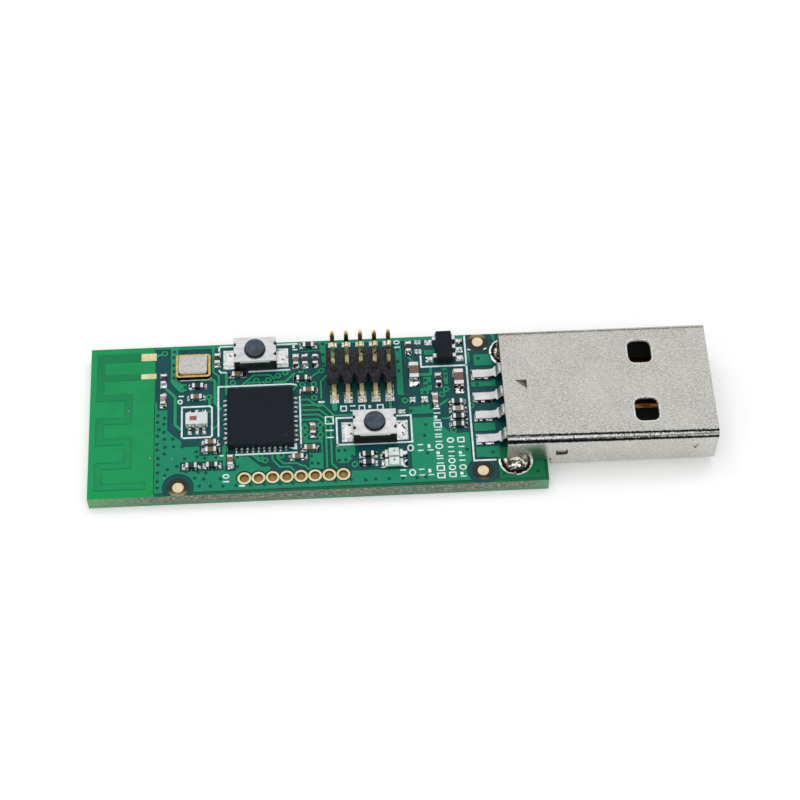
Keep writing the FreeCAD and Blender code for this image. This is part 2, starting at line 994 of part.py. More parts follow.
def triangle_lance():
    """Corners of the small lance in the top wall: a right triangle cut on its two short sides."""
    x = plug_rear + lance_rear_gap
    half = lance_length / 2
    end = x + lance_length
    return (x, plug_centre + half), (end, plug_centre + half), (end, plug_centre - half)


def triangle_tab():
    """The lance's tab, bent down about its long side."""
    corners = [at(x, y, plug_top - plug_sheet) for x, y in triangle_lance()]
    tab = prism(corners, FreeCAD.Vector(0, 0, plug_sheet))
    axis = corners[2] - corners[0]
    tab.rotate(corners[0] + FreeCAD.Vector(0, 0, plug_sheet), axis, -lance_tilt)
    return tab


def side_cutters():
    """The U-shaped cut of the side tab and the triangular mark near the tip, in both side walls."""
    cuts = []
    x = plug_rear + side_tab_rear_gap
    z = board_thickness + side_tab_rise
    mark_x = plug_tip - mark_tip_gap
    mark_z = board_thickness + mark_rise
    for y in shell_side_y:
        opening = block(x + side_tab_length / 2, y, z, side_tab_length, plug_sheet * 3, side_tab_height)
        lower = [edge for edge in long_edges(opening, 1) if edge.BoundBox.ZMax < z + 1e-6]
        cuts.append(opening.makeFillet(side_tab_corner, lower))
        inward = plug_sheet if y < plug_centre else -plug_sheet
        edge_y = y + (mark_depth if inward > 0 else -mark_depth)
        corners = [
            at(mark_x - mark_side / 2, edge_y, mark_z + mark_side),
            at(mark_x + mark_side / 2, edge_y, mark_z + mark_side),
            at(mark_x, edge_y, mark_z),
        ]
        mark = prism(corners, FreeCAD.Vector(0, -inward * 2, 0))
        cuts.append(mark)
    return cuts


def side_tabs():
    """Tabs left inside the side cuts, hung from the top and bent in to hold the insulator."""
    found = []
    x = plug_rear + side_tab_rear_gap + side_tab_slot
    top = board_thickness + side_tab_rise + side_tab_height
    length = side_tab_length - 2 * side_tab_slot
    height = side_tab_height - side_tab_slot
    for sign, y in zip((1, -1), shell_side_y):
        start = y if sign > 0 else y - plug_sheet
        tab = Part.makeBox(length, plug_sheet, height, at(x, start, top - height))
        tab.rotate(at(x, y, top), FreeCAD.Vector(1, 0, 0), sign * side_tab_tilt)
        found.append(tab)
    return found


def bottom_seam():
    """The line where the folded sheet meets itself under the plug, with one dovetail key."""
    middle = (shell_step + plug_tip) / 2
    half = seam_key_length / 2
    path = [
        (shell_step - 1, plug_centre),
        (middle - half * seam_key_waist, plug_centre),
        (middle - half, plug_centre + seam_key_width / 2),
        (middle + half, plug_centre + seam_key_width / 2),
        (middle + half * seam_key_waist, plug_centre),
        (plug_tip + 1, plug_centre),
    ]

    def plane(u, v):
        return at(u, v, plug_bottom - plug_sheet)

    return ribbon(path, seam_gap, 0, plane, FreeCAD.Vector(0, 0, plug_sheet * 3))


def shell_legs():
    """Two legs that go down from the side walls into the board's plated holes."""
    legs = []
    low = leg_short
    high = board_thickness + plug_seat
    for y in shell_side_y:
        start = y if y < plug_centre else y - plug_sheet
        leg = Part.makeBox(leg_width, plug_sheet, high - low, at(leg_spot_x - leg_width / 2, start, low))
        lower = [edge for edge in long_edges(leg, 1) if edge.BoundBox.ZMax < low + 1e-6]
        legs.append(leg.makeFillet(leg_corner, lower))
    return legs


def usb_shell():
    shell = rounded_bar(plug_rear, plug_bottom, plug_length, plug_width, plug_height, plug_corner)
    inside = rounded_bar(
        plug_rear - 1, plug_bottom + plug_sheet, plug_length + 2,
        plug_width - 2 * plug_sheet, plug_height - 2 * plug_sheet, plug_corner - plug_sheet)
    shell = shell.cut(inside)
    cuts = []
    wide = plug_width + 2
    rear_cut = plug_drop + plug_seat + 1
    cuts.append(Part.makeBox(
        shell_step - plug_rear + 1, wide, rear_cut,
        at(plug_rear - 1, plug_centre - wide / 2, board_thickness + plug_seat - rear_cut)))
    cuts.append(Part.makeBox(
        slit_width, wide, slit_rise + plug_seat,
        at(shell_step - slit_width, plug_centre - wide / 2, board_thickness)))
    window_x = plug_tip - window_tip_gap
    for sign in (-1, 1):
        y = plug_centre + sign * window_spread
        cuts.append(window_bar(window_x, y, plug_top - plug_sheet * 2))
        cuts.append(window_bar(window_x, y, plug_bottom - plug_sheet))
    lance = [at(x, y, plug_top - plug_sheet * 2) for x, y in triangle_lance()]
    cuts.append(prism(lance, FreeCAD.Vector(0, 0, plug_sheet * 3)))
    cuts += side_cutters()
    ball = (dimple_radius ** 2 + dimple_depth ** 2) / (2 * dimple_depth)
    dimple_y = plug_centre + dimple_side
    dimple_spot = at(plug_rear + dimple_rear_gap, dimple_y, plug_top - dimple_depth + ball)
    cuts.append(Part.makeSphere(ball, dimple_spot))
    cuts.append(bottom_seam())
    shell = shell.cut(Part.makeCompound(cuts))
    for piece in [triangle_tab()] + side_tabs() + shell_legs():
        shell = shell.fuse(piece)
    return shell.removeSplitter()


# USB contacts and insulator

contact_top = board_thickness + tongue_top - contact_fit
contact_middle = contact_top - contact_sheet / 2


def usb_contact(spot, tip_gap):
    """A flat blade in the tongue, a drop behind the plug and a foot on the board."""
    y = plug_centre + spot
    foot = seat + contact_sheet / 2
    rear = plug_rear
    path = [
        (plug_tip - tip_gap, contact_middle),
        (rear + contact_drop_start, contact_middle),
        (rear - contact_drop_run, foot + contact_drop_end),
        (rear - tail_reach + tail_foot, foot),
        (rear - tail_reach, foot),
    ]

    def plane(u, v):
        return at(u, y - shoulder_width / 2, v)

    strip = ribbon(path, contact_sheet, tail_bend, plane, FreeCAD.Vector(0, shoulder_width, 0))
    shoulder = (rear - tail_neck, rear + shoulder_reach)
    half = (tail_width / 2, shoulder_width / 2, contact_width / 2)
    steps = [
        (rear - tail_reach - 1, half[0]),
        (shoulder[0] - shoulder_slope, half[0]),
        (shoulder[0], half[1]),
        (shoulder[1], half[1]),
        (shoulder[1] + shoulder_slope, half[2]),
        (plug_tip, half[2]),
    ]
    outline = [at(x, y + reach, 0) for x, reach in steps]
    outline += [at(x, y - reach, 0) for x, reach in steps[::-1]]
    return strip.common(prism(outline, FreeCAD.Vector(0, 0, plug_top)))


def usb_insulator():
    """The rear block that fills the shell and the tongue that carries the contacts."""
    gap = insulator_gap
    inner_width = plug_width - 2 * plug_sheet - 2 * gap
    inner_height = plug_height - 2 * plug_sheet - 2 * gap
    low = plug_bottom + plug_sheet + gap
    tip = plug_tip - tongue_tip_gap
    start = plug_rear + insulator_rear
    body = rounded_bar(start, low, tip - start, inner_width, inner_height, plug_corner - plug_sheet)
    block_end = start + insulator_block
    tongue_high = board_thickness + tongue_top
    above = Part.makeBox(tip - block_end + 1, plug_width, plug_height,
                         at(block_end, plug_centre - plug_width / 2, tongue_high))
    side = tongue_side_gap
    left = Part.makeBox(tip - block_end + 1, side, plug_height,
                        at(block_end, plug_centre - inner_width / 2, low))
    right = Part.makeBox(tip - block_end + 1, side, plug_height,
                         at(block_end, plug_centre + inner_width / 2 - side, low))
    board_room = board_thickness + insulator_board_gap
    below = Part.makeBox(shell_step - start + 1, plug_width, board_room,
                         at(start - 1, plug_centre - plug_width / 2, 0))
    cuts = [above, left, right, below]
    for spot, tip_gap in zip(contact_spots, contact_tip_gap):
        y = plug_centre + spot
        length = plug_tip - tip_gap + contact_fit - plug_rear + 1
        cuts.append(Part.makeBox(
            length, contact_width + 2 * contact_fit, contact_sheet + contact_fit,
            at(plug_rear - 1, y - contact_width / 2 - contact_fit, contact_top - contact_sheet)))
    tabs = Part.makeCompound([triangle_tab()] + side_tabs())
    return body.cut(Part.makeCompound(cuts)).cut(tabs)


def tail_lands():
    found = []
    for spot in contact_spots:
        x = plug_rear - tail_reach + tail_land_length / 2 - tail_land_margin
        found.append(block(x, plug_centre + spot, board_thickness, tail_land_length, tail_land_width,
                           copper + solder_film))
    return found


# Solder

def leg_solder():
    """Solder that fills each leg's hole and climbs the shell's wall as a hollow cone on its land."""
    found = []
    shell = usb_shell()
    for y in leg_spots_y:
        top = board_thickness
        profile = [
            (0, 0),
            (leg_land_radius, 0),
            (leg_land_radius, leg_solder_lip),
            (leg_solder_waist, leg_solder_waist_rise),
            (leg_solder_crown, leg_solder_rise),
            (0, leg_solder_rise),
        ]
        corners = [at(leg_spot_x + reach, y, top + z) for reach, z in profile]
        face = Part.Face(Part.makePolygon(corners + [corners[0]]))
        cone = face.revolve(corners[0], FreeCAD.Vector(0, 0, 1), 360)
        sign = 1 if y < plug_centre else -1
        inner_wall = y + sign * plug_sheet / 2
        keep_low = inner_wall if sign > 0 else inner_wall - plug_width
        inside = Part.makeBox(
            4 * leg_land_radius, plug_width, plug_height,
            at(leg_spot_x - 2 * leg_land_radius, keep_low, top + copper))
        blob = cone.cut(inside)
        blob = blob.fuse(block(leg_spot_x, y, 0, leg_hole_length, leg_hole_width, board_thickness))
        pieces = blob.cut(shell).removeSplitter().Solids
        found.append(max(pieces, key=lambda piece: piece.Volume))
    return found


def tail_solder():
    """Solder banks with a hollow face along both sides of each contact's foot."""
    found = []
    length = tail_foot - 2 * tail_solder_inset
    x = plug_rear - tail_reach + tail_solder_inset
    run = (tail_land_width - tail_width) / 2
    low = seat
    for spot in contact_spots:
        for sign in (-1, 1):
            edge = plug_centre + spot + sign * tail_width / 2
            start = at(x, edge, low)
            out = at(x, edge + sign * run, low)
            high = at(x, edge, low + tail_solder_rise)
            belly = at(x, edge + sign * run * 0.35, low + tail_solder_rise * 0.35)
            edges = [
                Part.LineSegment(start, out).toShape(),
                Part.Arc(out, belly, high).toShape(),
                Part.LineSegment(high, start).toShape(),
            ]
            found.append(Part.Face(Part.Wire(edges)).extrude(FreeCAD.Vector(length, 0, 0)))
    return found


def all_lands():
    found = []
    film = copper + solder_film
    for part in brown_parts + dark_parts + light_parts + large_parts:
        found += part.lands()
    for spread in (-1, 1):
        for index in range(balun_pins_per_side):
            x = balun_spot[0] + (index - (balun_pins_per_side - 1) / 2) * balun_pitch
            y = balun_spot[1] + spread * (balun_width / 2 + balun_land_reach)
            found.append(block(x, y, board_thickness, balun_pin_width, balun_land_length, film))
    found += chip_side_boxes(chip_pin_length, chip_land_reach, chip_pin_width, board_thickness, film)
    found.append(block(chip_centre_x, chip_y, board_thickness, chip_pad_side, chip_pad_side, film))
    for x, y, length, width in bare_lands:
        found.append(block(service_start + x, y, board_thickness, length, width, film))
    found += regulator_lands() + lamp_lands() + header_lands() + tail_lands()
    found += button_1.lands() + button_2.lands()
    x, y = crystal_spot
    for sign_x in (-1, 1):
        for sign_y in (-1, 1):
            found.append(block(
                x + sign_x * (crystal_length - crystal_land_length) / 2,
                y + sign_y * (crystal_width - crystal_land_width) / 2,
                board_thickness, crystal_land_length, crystal_land_width, film))
    return found


def gather(parts, method):
    """All solids that one method gives over a list of parts."""
    found = []
    for part in parts:
        made = getattr(part, method)()
        found += made if isinstance(made, list) else [made]
    return found


def build():
    os.makedirs("parts", exist_ok=True)
    save("circuit_board", circuit_board())
    save("hole_rings", *hole_rings())
    save("alignment_discs", *alignment_discs())
    save("printed_antenna", printed_antenna())
    save("antenna_lands", *antenna_lands())
    save("solder_lands", *all_lands())
    save("radio_chip_body", chip_body())
    save("radio_chip_terminals", *chip_terminals())
    save("crystal_base", crystal_base())
    save("crystal_lid", crystal_lid())
    save("balun_body", balun_core())
    save("balun_terminals", *balun_terminals())
    save("brown_capacitor_bodies", *gather(brown_parts, "body"))
    save("brown_capacitor_caps", *gather(brown_parts, "caps"))
    save("dark_resistor_bodies", *gather(dark_parts, "body"))
    save("dark_resistor_caps", *gather(dark_parts, "caps"))
    save("light_coil_bodies", *gather(light_parts, "body"))
    save("light_coil_caps", *gather(light_parts, "caps"))
    save("large_capacitor_bodies", *gather(large_parts, "body"))
    save("large_capacitor_caps", *gather(large_parts, "caps"))
    save("chip_part_solder", *gather(brown_parts + dark_parts + light_parts + large_parts, "solder"))
    for name, button in (("button_1", button_1), ("button_2", button_2)):
        save(name + "_base", button.base())
        save(name + "_cover", button.cover())
        save(name + "_plunger", button.plunger())
        save(name + "_dome", button.dome())
        save(name + "_terminals", *button.terminals())
    save("header_body", header_body())
    save("header_pins", *header_pins())
    save("regulator_body", regulator_body())
    save("regulator_leads", *regulator_leads())
    save("indicator_bases", *lamp_bases())
    save("indicator_lenses", *lamp_lenses())
    save("indicator_terminals", *lamp_terminals())
    save("usb_shell", usb_shell())
    save("usb_insulator", usb_insulator())
    for index, (spot, tip_gap) in enumerate(zip(contact_spots, contact_tip_gap)):
        save("usb_contact_" + str(index + 1), usb_contact(spot, tip_gap))
    save("leg_solder", *leg_solder())
    save("contact_solder", *tail_solder())


build()
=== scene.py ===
"""A USB radio stick on a white table: finishes for its solids, the printed layers of its board,
its solder, and the light and camera round it. Sizes are millimetres, turned to metres by MM."""

import math

import bpy
import numpy as np
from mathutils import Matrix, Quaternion, Vector
from mathutils.geometry import delaunay_2d_cdt


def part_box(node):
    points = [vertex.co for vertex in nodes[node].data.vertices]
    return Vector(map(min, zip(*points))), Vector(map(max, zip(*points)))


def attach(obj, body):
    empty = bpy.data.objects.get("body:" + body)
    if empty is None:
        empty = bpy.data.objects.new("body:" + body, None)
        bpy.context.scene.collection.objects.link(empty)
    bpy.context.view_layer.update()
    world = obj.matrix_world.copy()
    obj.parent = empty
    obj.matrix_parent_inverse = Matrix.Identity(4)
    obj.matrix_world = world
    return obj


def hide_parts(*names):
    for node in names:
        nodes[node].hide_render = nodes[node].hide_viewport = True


MM = 0.001
# The board. Places on it are millimetres from the antenna's end, the front edge and the table.
LENGTH = 41.35
WIDTH = 16.0
THICKNESS = 1.6
ANTENNA_END = 5.93
PLUG_REAR = 37.65
# Heights of the layers at each side: a copper pour is SLOPE wider at its foot, parts stand at SEAT,
# and what is printed or melted on is BURIED in what it lies on.
OVER_LAMINATE, OVER_COPPER, IN_VIA, ETCHED = 1.618, 1.652, 1.608, 1.604
UNDER_LAMINATE, UNDER_VIA, FOIL = 0.018, 0.02, 0.035
SLOPE = 0.065
SEAT = 1.665
BURIED = 0.005
# Copper keeps clear of each land, and the lacquer leaves it open.
CLEARING = 0.13
OPENING = 0.02
# Holes: radii, middles, and half the length and width of those for the plug's legs
DRILL = 0.425
VIA_RADIUS = 0.17
VIA_RING = 0.32
side_holes = [(14.04 + 1.27 * step, 1.48) for step in range(8)]
leg_spots = [(38.5, 2.15), (38.5, 13.85)]
LEG_X, LEG_Y = 0.75, 0.35
# Under the board: widths of the bare rings round the side holes and of the solder round the legs
UNDER_RING = 0.215
UNDER_SOLDER = 0.4
# The plug's fold lines start this far inside its sides and below its top.
FOLD = 0.62

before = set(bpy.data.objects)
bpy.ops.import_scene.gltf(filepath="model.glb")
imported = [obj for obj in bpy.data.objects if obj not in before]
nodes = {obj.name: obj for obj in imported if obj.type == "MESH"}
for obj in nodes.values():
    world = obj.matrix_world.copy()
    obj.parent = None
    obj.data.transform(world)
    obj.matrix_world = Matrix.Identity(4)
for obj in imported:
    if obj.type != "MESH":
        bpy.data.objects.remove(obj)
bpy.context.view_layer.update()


def at(x, y, z=0.0):
    """Metres in the frame, from millimetres off the antenna's end and the board's front edge."""
    return ((x - LENGTH / 2) * MM, (y - WIDTH / 2) * MM, z * MM)


def span(piece):
    """A piece's two outer corners, in millimetres from the board's middle."""
    return np.array(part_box(piece)) / MM


# Materials

# Sockets of a Mix node that mixes colours
FACTOR, FIRST, SECOND, MIXED = 0, 6, 7, 2


def srgb(code):
    """A linear colour from a hex sRGB code."""
    channels = [int(code[start:start + 2], 16) / 255 for start in (1, 3, 5)]
    linear = [c / 12.92 if c <= 0.04045 else ((c + 0.055) / 1.055) ** 2.4 for c in channels]
    return (*linear, 1.0)


def add_node(tree, kind, inputs=None, out=0, **settings):
    """Adds a node with its settings, values and links, and gives one output. A hex code is a colour."""
    node = tree.nodes.new(kind)
    for name, value in settings.items():
        setattr(node, name, value)
    for key, value in (inputs or {}).items():
        if isinstance(value, bpy.types.NodeSocket):
            tree.links.new(value, node.inputs[key])
        else:
            node.inputs[key].default_value = srgb(value) if isinstance(value, str) else value
    return node.outputs[out]


def finish(name, colour, **sockets):
    """A material with constant values on its shader, and its tree for patterns."""
    made = bpy.data.materials.new(name)
    made.use_nodes = True
    tree = made.node_tree
    shader = tree.nodes["Principled BSDF"]
    shader.inputs["Base Color"].default_value = srgb(colour)
    for key, value in sockets.items():
        shader.inputs[key.replace("_", " ")].default_value = value
    return made, tree


def patches(tree, size, low=0.0, high=1.0, stretch=(1, 1, 1), detail=3.0, sharp=1.0):
    """A value that drifts between low and high over patches of a size in millimetres."""
    place = add_node(tree, "ShaderNodeTexCoord", out="Object")
    spread = add_node(tree, "ShaderNodeMapping", {"Vector": place, "Scale": stretch})
    scaled = {"Vector": spread, "Scale": 1 / (size * MM), "Detail": detail}
    cloud = add_node(tree, "ShaderNodeTexNoise", scaled)
    half = 0.2 / sharp
    limits = {"Value": cloud, "From Min": 0.5 - half, "From Max": 0.5 + half, "To Min": low, "To Max": high}
    return add_node(tree, "ShaderNodeMapRange", limits)


def coordinate(tree, axis, place=None):
    """A place's coordinate on an axis. The usual place is in metres from the board's middle."""
    place = place or add_node(tree, "ShaderNodeTexCoord", out="Object")
    return add_node(tree, "ShaderNodeSeparateXYZ", {0: place}, axis)


def mirrored(tree):
    """The place in metres from the board's middle, the same on both sides of it."""
    place = add_node(tree, "ShaderNodeTexCoord", out="Object")
    return add_node(tree, "ShaderNodeVectorMath", {0: place}, operation="ABSOLUTE")


def reach(tree, axis, start, end, low=0.0, high=1.0):
    """A value that goes from low to high between two places in millimetres along an axis."""
    limits = {"Value": coordinate(tree, axis), "From Min": start * MM, "From Max": end * MM,
              "To Min": low, "To Max": high}
    return add_node(tree, "ShaderNodeMapRange", limits)


def upward(tree, low, high):
    """A value that goes from 0 to 1 as the surface turns up, between two heights of its normal."""
    facing = add_node(tree, "ShaderNodeNewGeometry", out="Normal")
    up = add_node(tree, "ShaderNodeSeparateXYZ", {0: facing}, 2)
    return add_node(tree, "ShaderNodeMapRange", {"Value": up, "From Min": low, "From Max": high})


def strip(tree, value, low, high, soft, inner=1.0):
    """An inner value where another, in metres, is between two sizes in millimetres, and 0 outside."""
    limits = {"Value": value, "From Min": low * MM, "From Max": (low + soft) * MM, "To Max": inner}
    rise = add_node(tree, "ShaderNodeMapRange", limits)
    limits = {"Value": value, "From Min": high * MM, "From Max": (high - soft) * MM}
    fall = add_node(tree, "ShaderNodeMapRange", limits)
    return add_node(tree, "ShaderNodeMath", {0: rise, 1: fall}, operation="MULTIPLY")


def over_piece(tree, piece, beyond_x, beyond_y, soft):
    """1 over a piece's box, grown by two distances in millimetres, and 0 beside it."""
    low, high = span(piece)
    inner = strip(tree, coordinate(tree, 0), low[0] - beyond_x, high[0] + beyond_x, soft)
    return strip(tree, coordinate(tree, 1), low[1] - beyond_y, high[1] + beyond_y, soft, inner)


def mottle(tree, first, second, size, low=0.0, high=1.0, **pattern):
    """Two colours in patches of a size in millimetres."""
    mix = {FACTOR: patches(tree, size, low, high, **pattern), FIRST: first, SECOND: second}
    return add_node(tree, "ShaderNodeMix", mix, MIXED, data_type="RGBA")


def fade(tree, first, second, axis, start, end):
    """A colour that turns to another between two places in millimetres along an axis."""
    mix = {FACTOR: reach(tree, axis, start, end), FIRST: first, SECOND: second}
    return add_node(tree, "ShaderNodeMix", mix, MIXED, data_type="RGBA")


def turned(tree, side, top, low, high):
    """One colour on faces that look sideways and another on faces that look up."""
    mix = {FACTOR: upward(tree, low, high), FIRST: side, SECOND: top}
    return add_node(tree, "ShaderNodeMix", mix, MIXED, data_type="RGBA")


def dress(made, colour, grain, depth, metal=None, **pattern):
    """Puts the mixed colour on the surface, and its relief: a grain and a depth in millimetres."""
    tree = made.node_tree
    shader = tree.nodes["Principled BSDF"]
    tree.links.new(colour, shader.inputs["Base Color"])
    if metal:
        tree.links.new(metal, shader.inputs["Metallic"])
    relief = {"Height": patches(tree, grain, **pattern), "Distance": depth * MM, "Strength": 1.0}
    tree.links.new(add_node(tree, "ShaderNodeBump", relief), shader.inputs["Normal"])
    return made


# Photo-cured epoxy lacquer, sprayed on, is a thin glossy film with a faint orange peel.
LACQUER = {"Roughness": 0.3, "IOR": 1.5, "Specular_IOR_Level": 0.2}
PEEL = (0.35, 0.003)


def solder_mask(name, colour, other):
    """Lacquer over copper or laminate: even, with faint clouds."""
    made, tree = finish(name, colour, **LACQUER)
    clouded = mottle(tree, colour, other, 1.4)
    clouded = mottle(tree, clouded, other, 0.12, 0, 0.5)
    return dress(made, clouded, *PEEL)


def clear_mask():
    """Lacquer over bare laminate: light comes through it from the board's near edges."""
    made, tree = finish("green_mask_on_bare_side", "#10a05e", **LACQUER)
    deep = mottle(tree, "#0b9051", "#119a58", 1.6)
    deep = fade(tree, "#0d9a57", deep, 0, -LENGTH / 2, -LENGTH / 2 + 2.1)
    deep = fade(tree, "#08984f", deep, 1, -WIDTH / 2, -WIDTH / 2 + 2.2)
    return dress(made, deep, *PEEL)


def antenna_mask():
    """Lacquer on the antenna's copper: nearly the colour of the ground, darker towards the feed."""
    made, tree = finish("green_mask_on_antenna_trace", "#109554", **LACQUER)
    clouded = mottle(tree, "#11965a", "#0d8c52", 1.4)
    clouded = fade(tree, clouded, "#0c7f4d", 1, -3.0, 6.5)
    return dress(made, clouded, *PEEL)


def glass_laminate():
    """Woven glass in epoxy, sawn to size: grey plies with pale yarn ends between two green films."""
    made, tree = finish("sawn_glass_laminate", "#66715f", Roughness=0.6, IOR=1.55)
    weave = (0.35, 0.35, 1.6)
    colour = mottle(tree, "#353d33", "#7c8571", 0.25, stretch=weave)
    # Yarn ends are 0.01 mm wide. They are drawn 0.14 mm wide, to show.
    colour = mottle(tree, colour, "#c1ccb8", 0.14, -1.5, 1.0, stretch=weave, detail=1)
    colour = fade(tree, "#4c9069", colour, 2, 0.08, 0.6)
    colour = fade(tree, colour, "#1f7a52", 2, 1.42, 1.58)
    # Both ends are painted paler green, as light shining through the laminate.
    colour = fade(tree, "#6aa672", colour, 0, -20.6, -14.5)
    colour = fade(tree, colour, "#679a74", 0, 18.6, 20.4)
    return dress(made, colour, 0.25, 0.02, stretch=weave)


def bare_laminate():
    """Laminate in a mask opening: brown-black where the copper was etched off, tan at the sawn edge."""
    made, tree = finish("etched_laminate", "#231a15", Roughness=0.5, IOR=1.55)
    dark = mottle(tree, "#17100d", "#2c211b", 0.3)
    sawn, whole = WIDTH / 2 - 0.05, WIDTH / 2 - 0.55
    colour = fade(tree, "#9a8a5e", dark, 1, -sawn, -whole)
    return dress(made, fade(tree, colour, "#9a8a5e", 1, whole, sawn), 0.2, 0.01)


def bath_gold():
    """Nickel and gold over copper, from a bath: pale gold, satin."""
    made, tree = finish("bath_gold", "#f1e5bd", Metallic=1.0, Roughness=0.34)
    return dress(made, mottle(tree, "#f6ecc9", "#e6d5a1", 0.5), 0.09, 0.003)


def barrel_gold():
    """The same bath in a drilled hole: rough from the drill, with painted shade at the mouth, bright
    inside.
    """
    made, tree = finish("hole_wall_gold", "#f3dca0", Metallic=1.0, Roughness=0.5)
    drilled = (1, 1, 0.3)
    colour = mottle(tree, "#fff0c4", "#ecd08c", 0.3, stretch=drilled)
    # Painted shade darkens the wall towards the mouth.
    colour = fade(tree, colour, "#6e5220", 2, 1.15, 1.55)
    return dress(made, colour, 0.12, 0.01, stretch=drilled)


def screen_ink():
    """White epoxy ink, screen printed: dull, with the faint steps of the screen's mesh."""
    made, tree = finish("white_screen_ink", "#e6f4f5", Roughness=0.6, IOR=1.5)
    return dress(made, mottle(tree, "#f0fbfb", "#c5dfe0", 0.3, -0.4, 1), 0.12, 0.006)


def melted_solder(name, roughness, lumps, depth, flux_and_dark_reflection):
    """Tin solder, melted in an oven: mirror bright swells, with painted dark reflections between them."""
    made, tree = finish(name, "#eef0f2", Metallic=1.0, Roughness=roughness)
    colour = mottle(tree, "#fbfcfd", "#c9cbce", 0.3)
    # The near-black patches are painted dark reflections.
    colour = mottle(tree, colour, "#131517", 0.34, flux_and_dark_reflection - 1, flux_and_dark_reflection + 1, detail=1.5, sharp=2.2)
    return dress(made, colour, lumps, depth, detail=1.5)


def land_solder():
    """Solder on the lands: white swells and painted dark reflections. The header's and buttons' lands are
    paler.
    """
    made, tree = finish("reflowed_solder", "#eef0f2", Metallic=1.0, Roughness=0.14)
    colour = mottle(tree, "#fbfcfd", "#bfc1c4", 0.22)
    # The near-black patches are painted dark reflections, fewer on the lands by the header and the buttons.
    flux_and_dark_reflection = patches(tree, 0.34, -0.85, 1.15, detail=1.5, sharp=2.2)
    paler_lands = (("header_body", 0, 1.8), ("button_1_base", 1.2, 0), ("button_2_base", 1.2, 0))
    for piece, beyond_x, beyond_y in paler_lands:
        pale = {0: flux_and_dark_reflection, 1: over_piece(tree, piece, beyond_x, beyond_y, 0.1)}
        flux_and_dark_reflection = add_node(tree, "ShaderNodeMath", pale, operation="SUBTRACT", use_clamp=True)
    mix = {FACTOR: flux_and_dark_reflection, FIRST: colour, SECOND: "#131517"}
    colour = add_node(tree, "ShaderNodeMix", mix, MIXED, data_type="RGBA")
    return dress(made, colour, 0.22, 0.03, detail=1.5)


def tin_plate(name, colour, other, roughness, depth):
    """Tin plated in a bath: pale grey metal, satin, slightly uneven."""
    made, tree = finish(name, colour, Metallic=1.0, Roughness=roughness)
    return dress(made, mottle(tree, colour, other, 0.3), 0.16, depth)


def dipped_terminal():
    """A tinned button terminal under its solder: bright, with a few dark swirls."""
    made, tree = finish("dipped_terminal_tin", "#f2f2f2", Metallic=1.0, Roughness=0.28)
    colour = mottle(tree, "#f8f8f8", "#e2e0da", 0.6, stretch=(1, 0.4, 1))
    colour = mottle(tree, colour, "#2c2e30", 0.45, -3.4, 1.0, sharp=1.4)
    return dress(made, colour, 0.4, 0.008)


def moulded_epoxy(name, colour, other):
    """Filled epoxy, transfer moulded: near black, with the fine spark-eroded texture of its mould."""
    made, tree = finish(name, colour, Roughness=0.5, IOR=1.55, Specular_IOR_Level=0.2)
    return dress(made, mottle(tree, colour, other, 0.35, detail=6), 0.08, 0.006)


def fired_ceramic(name, colour, other):
    """Pressed and fired ceramic: dull and dense, faintly mottled."""
    made, tree = finish(name, colour, Roughness=0.4, IOR=1.7, Specular_IOR_Level=0.4)
    return dress(made, mottle(tree, colour, other, 0.2), 0.08, 0.004)


def crystal_case():
    """A ceramic tub, dark at its sides, with a gold-plated rim on its top and flux along the lid."""
    made, tree = finish("ceramic_tub_with_gold_rim", "#1d1712", Metallic=1.0, Roughness=0.3)
    seam = 0.07
    flux_and_dark_reflection = over_piece(tree, "crystal_lid", seam, seam, seam / 2)
    mix = {FACTOR: flux_and_dark_reflection, FIRST: mottle(tree, "#e6d08a", "#c4a350", 0.3), SECOND: "#4c3a14"}
    rim = add_node(tree, "ShaderNodeMix", mix, MIXED, data_type="RGBA")
    return dress(made, turned(tree, "#16110d", rim, 0.25, 0.6), 0.2, 0.004)


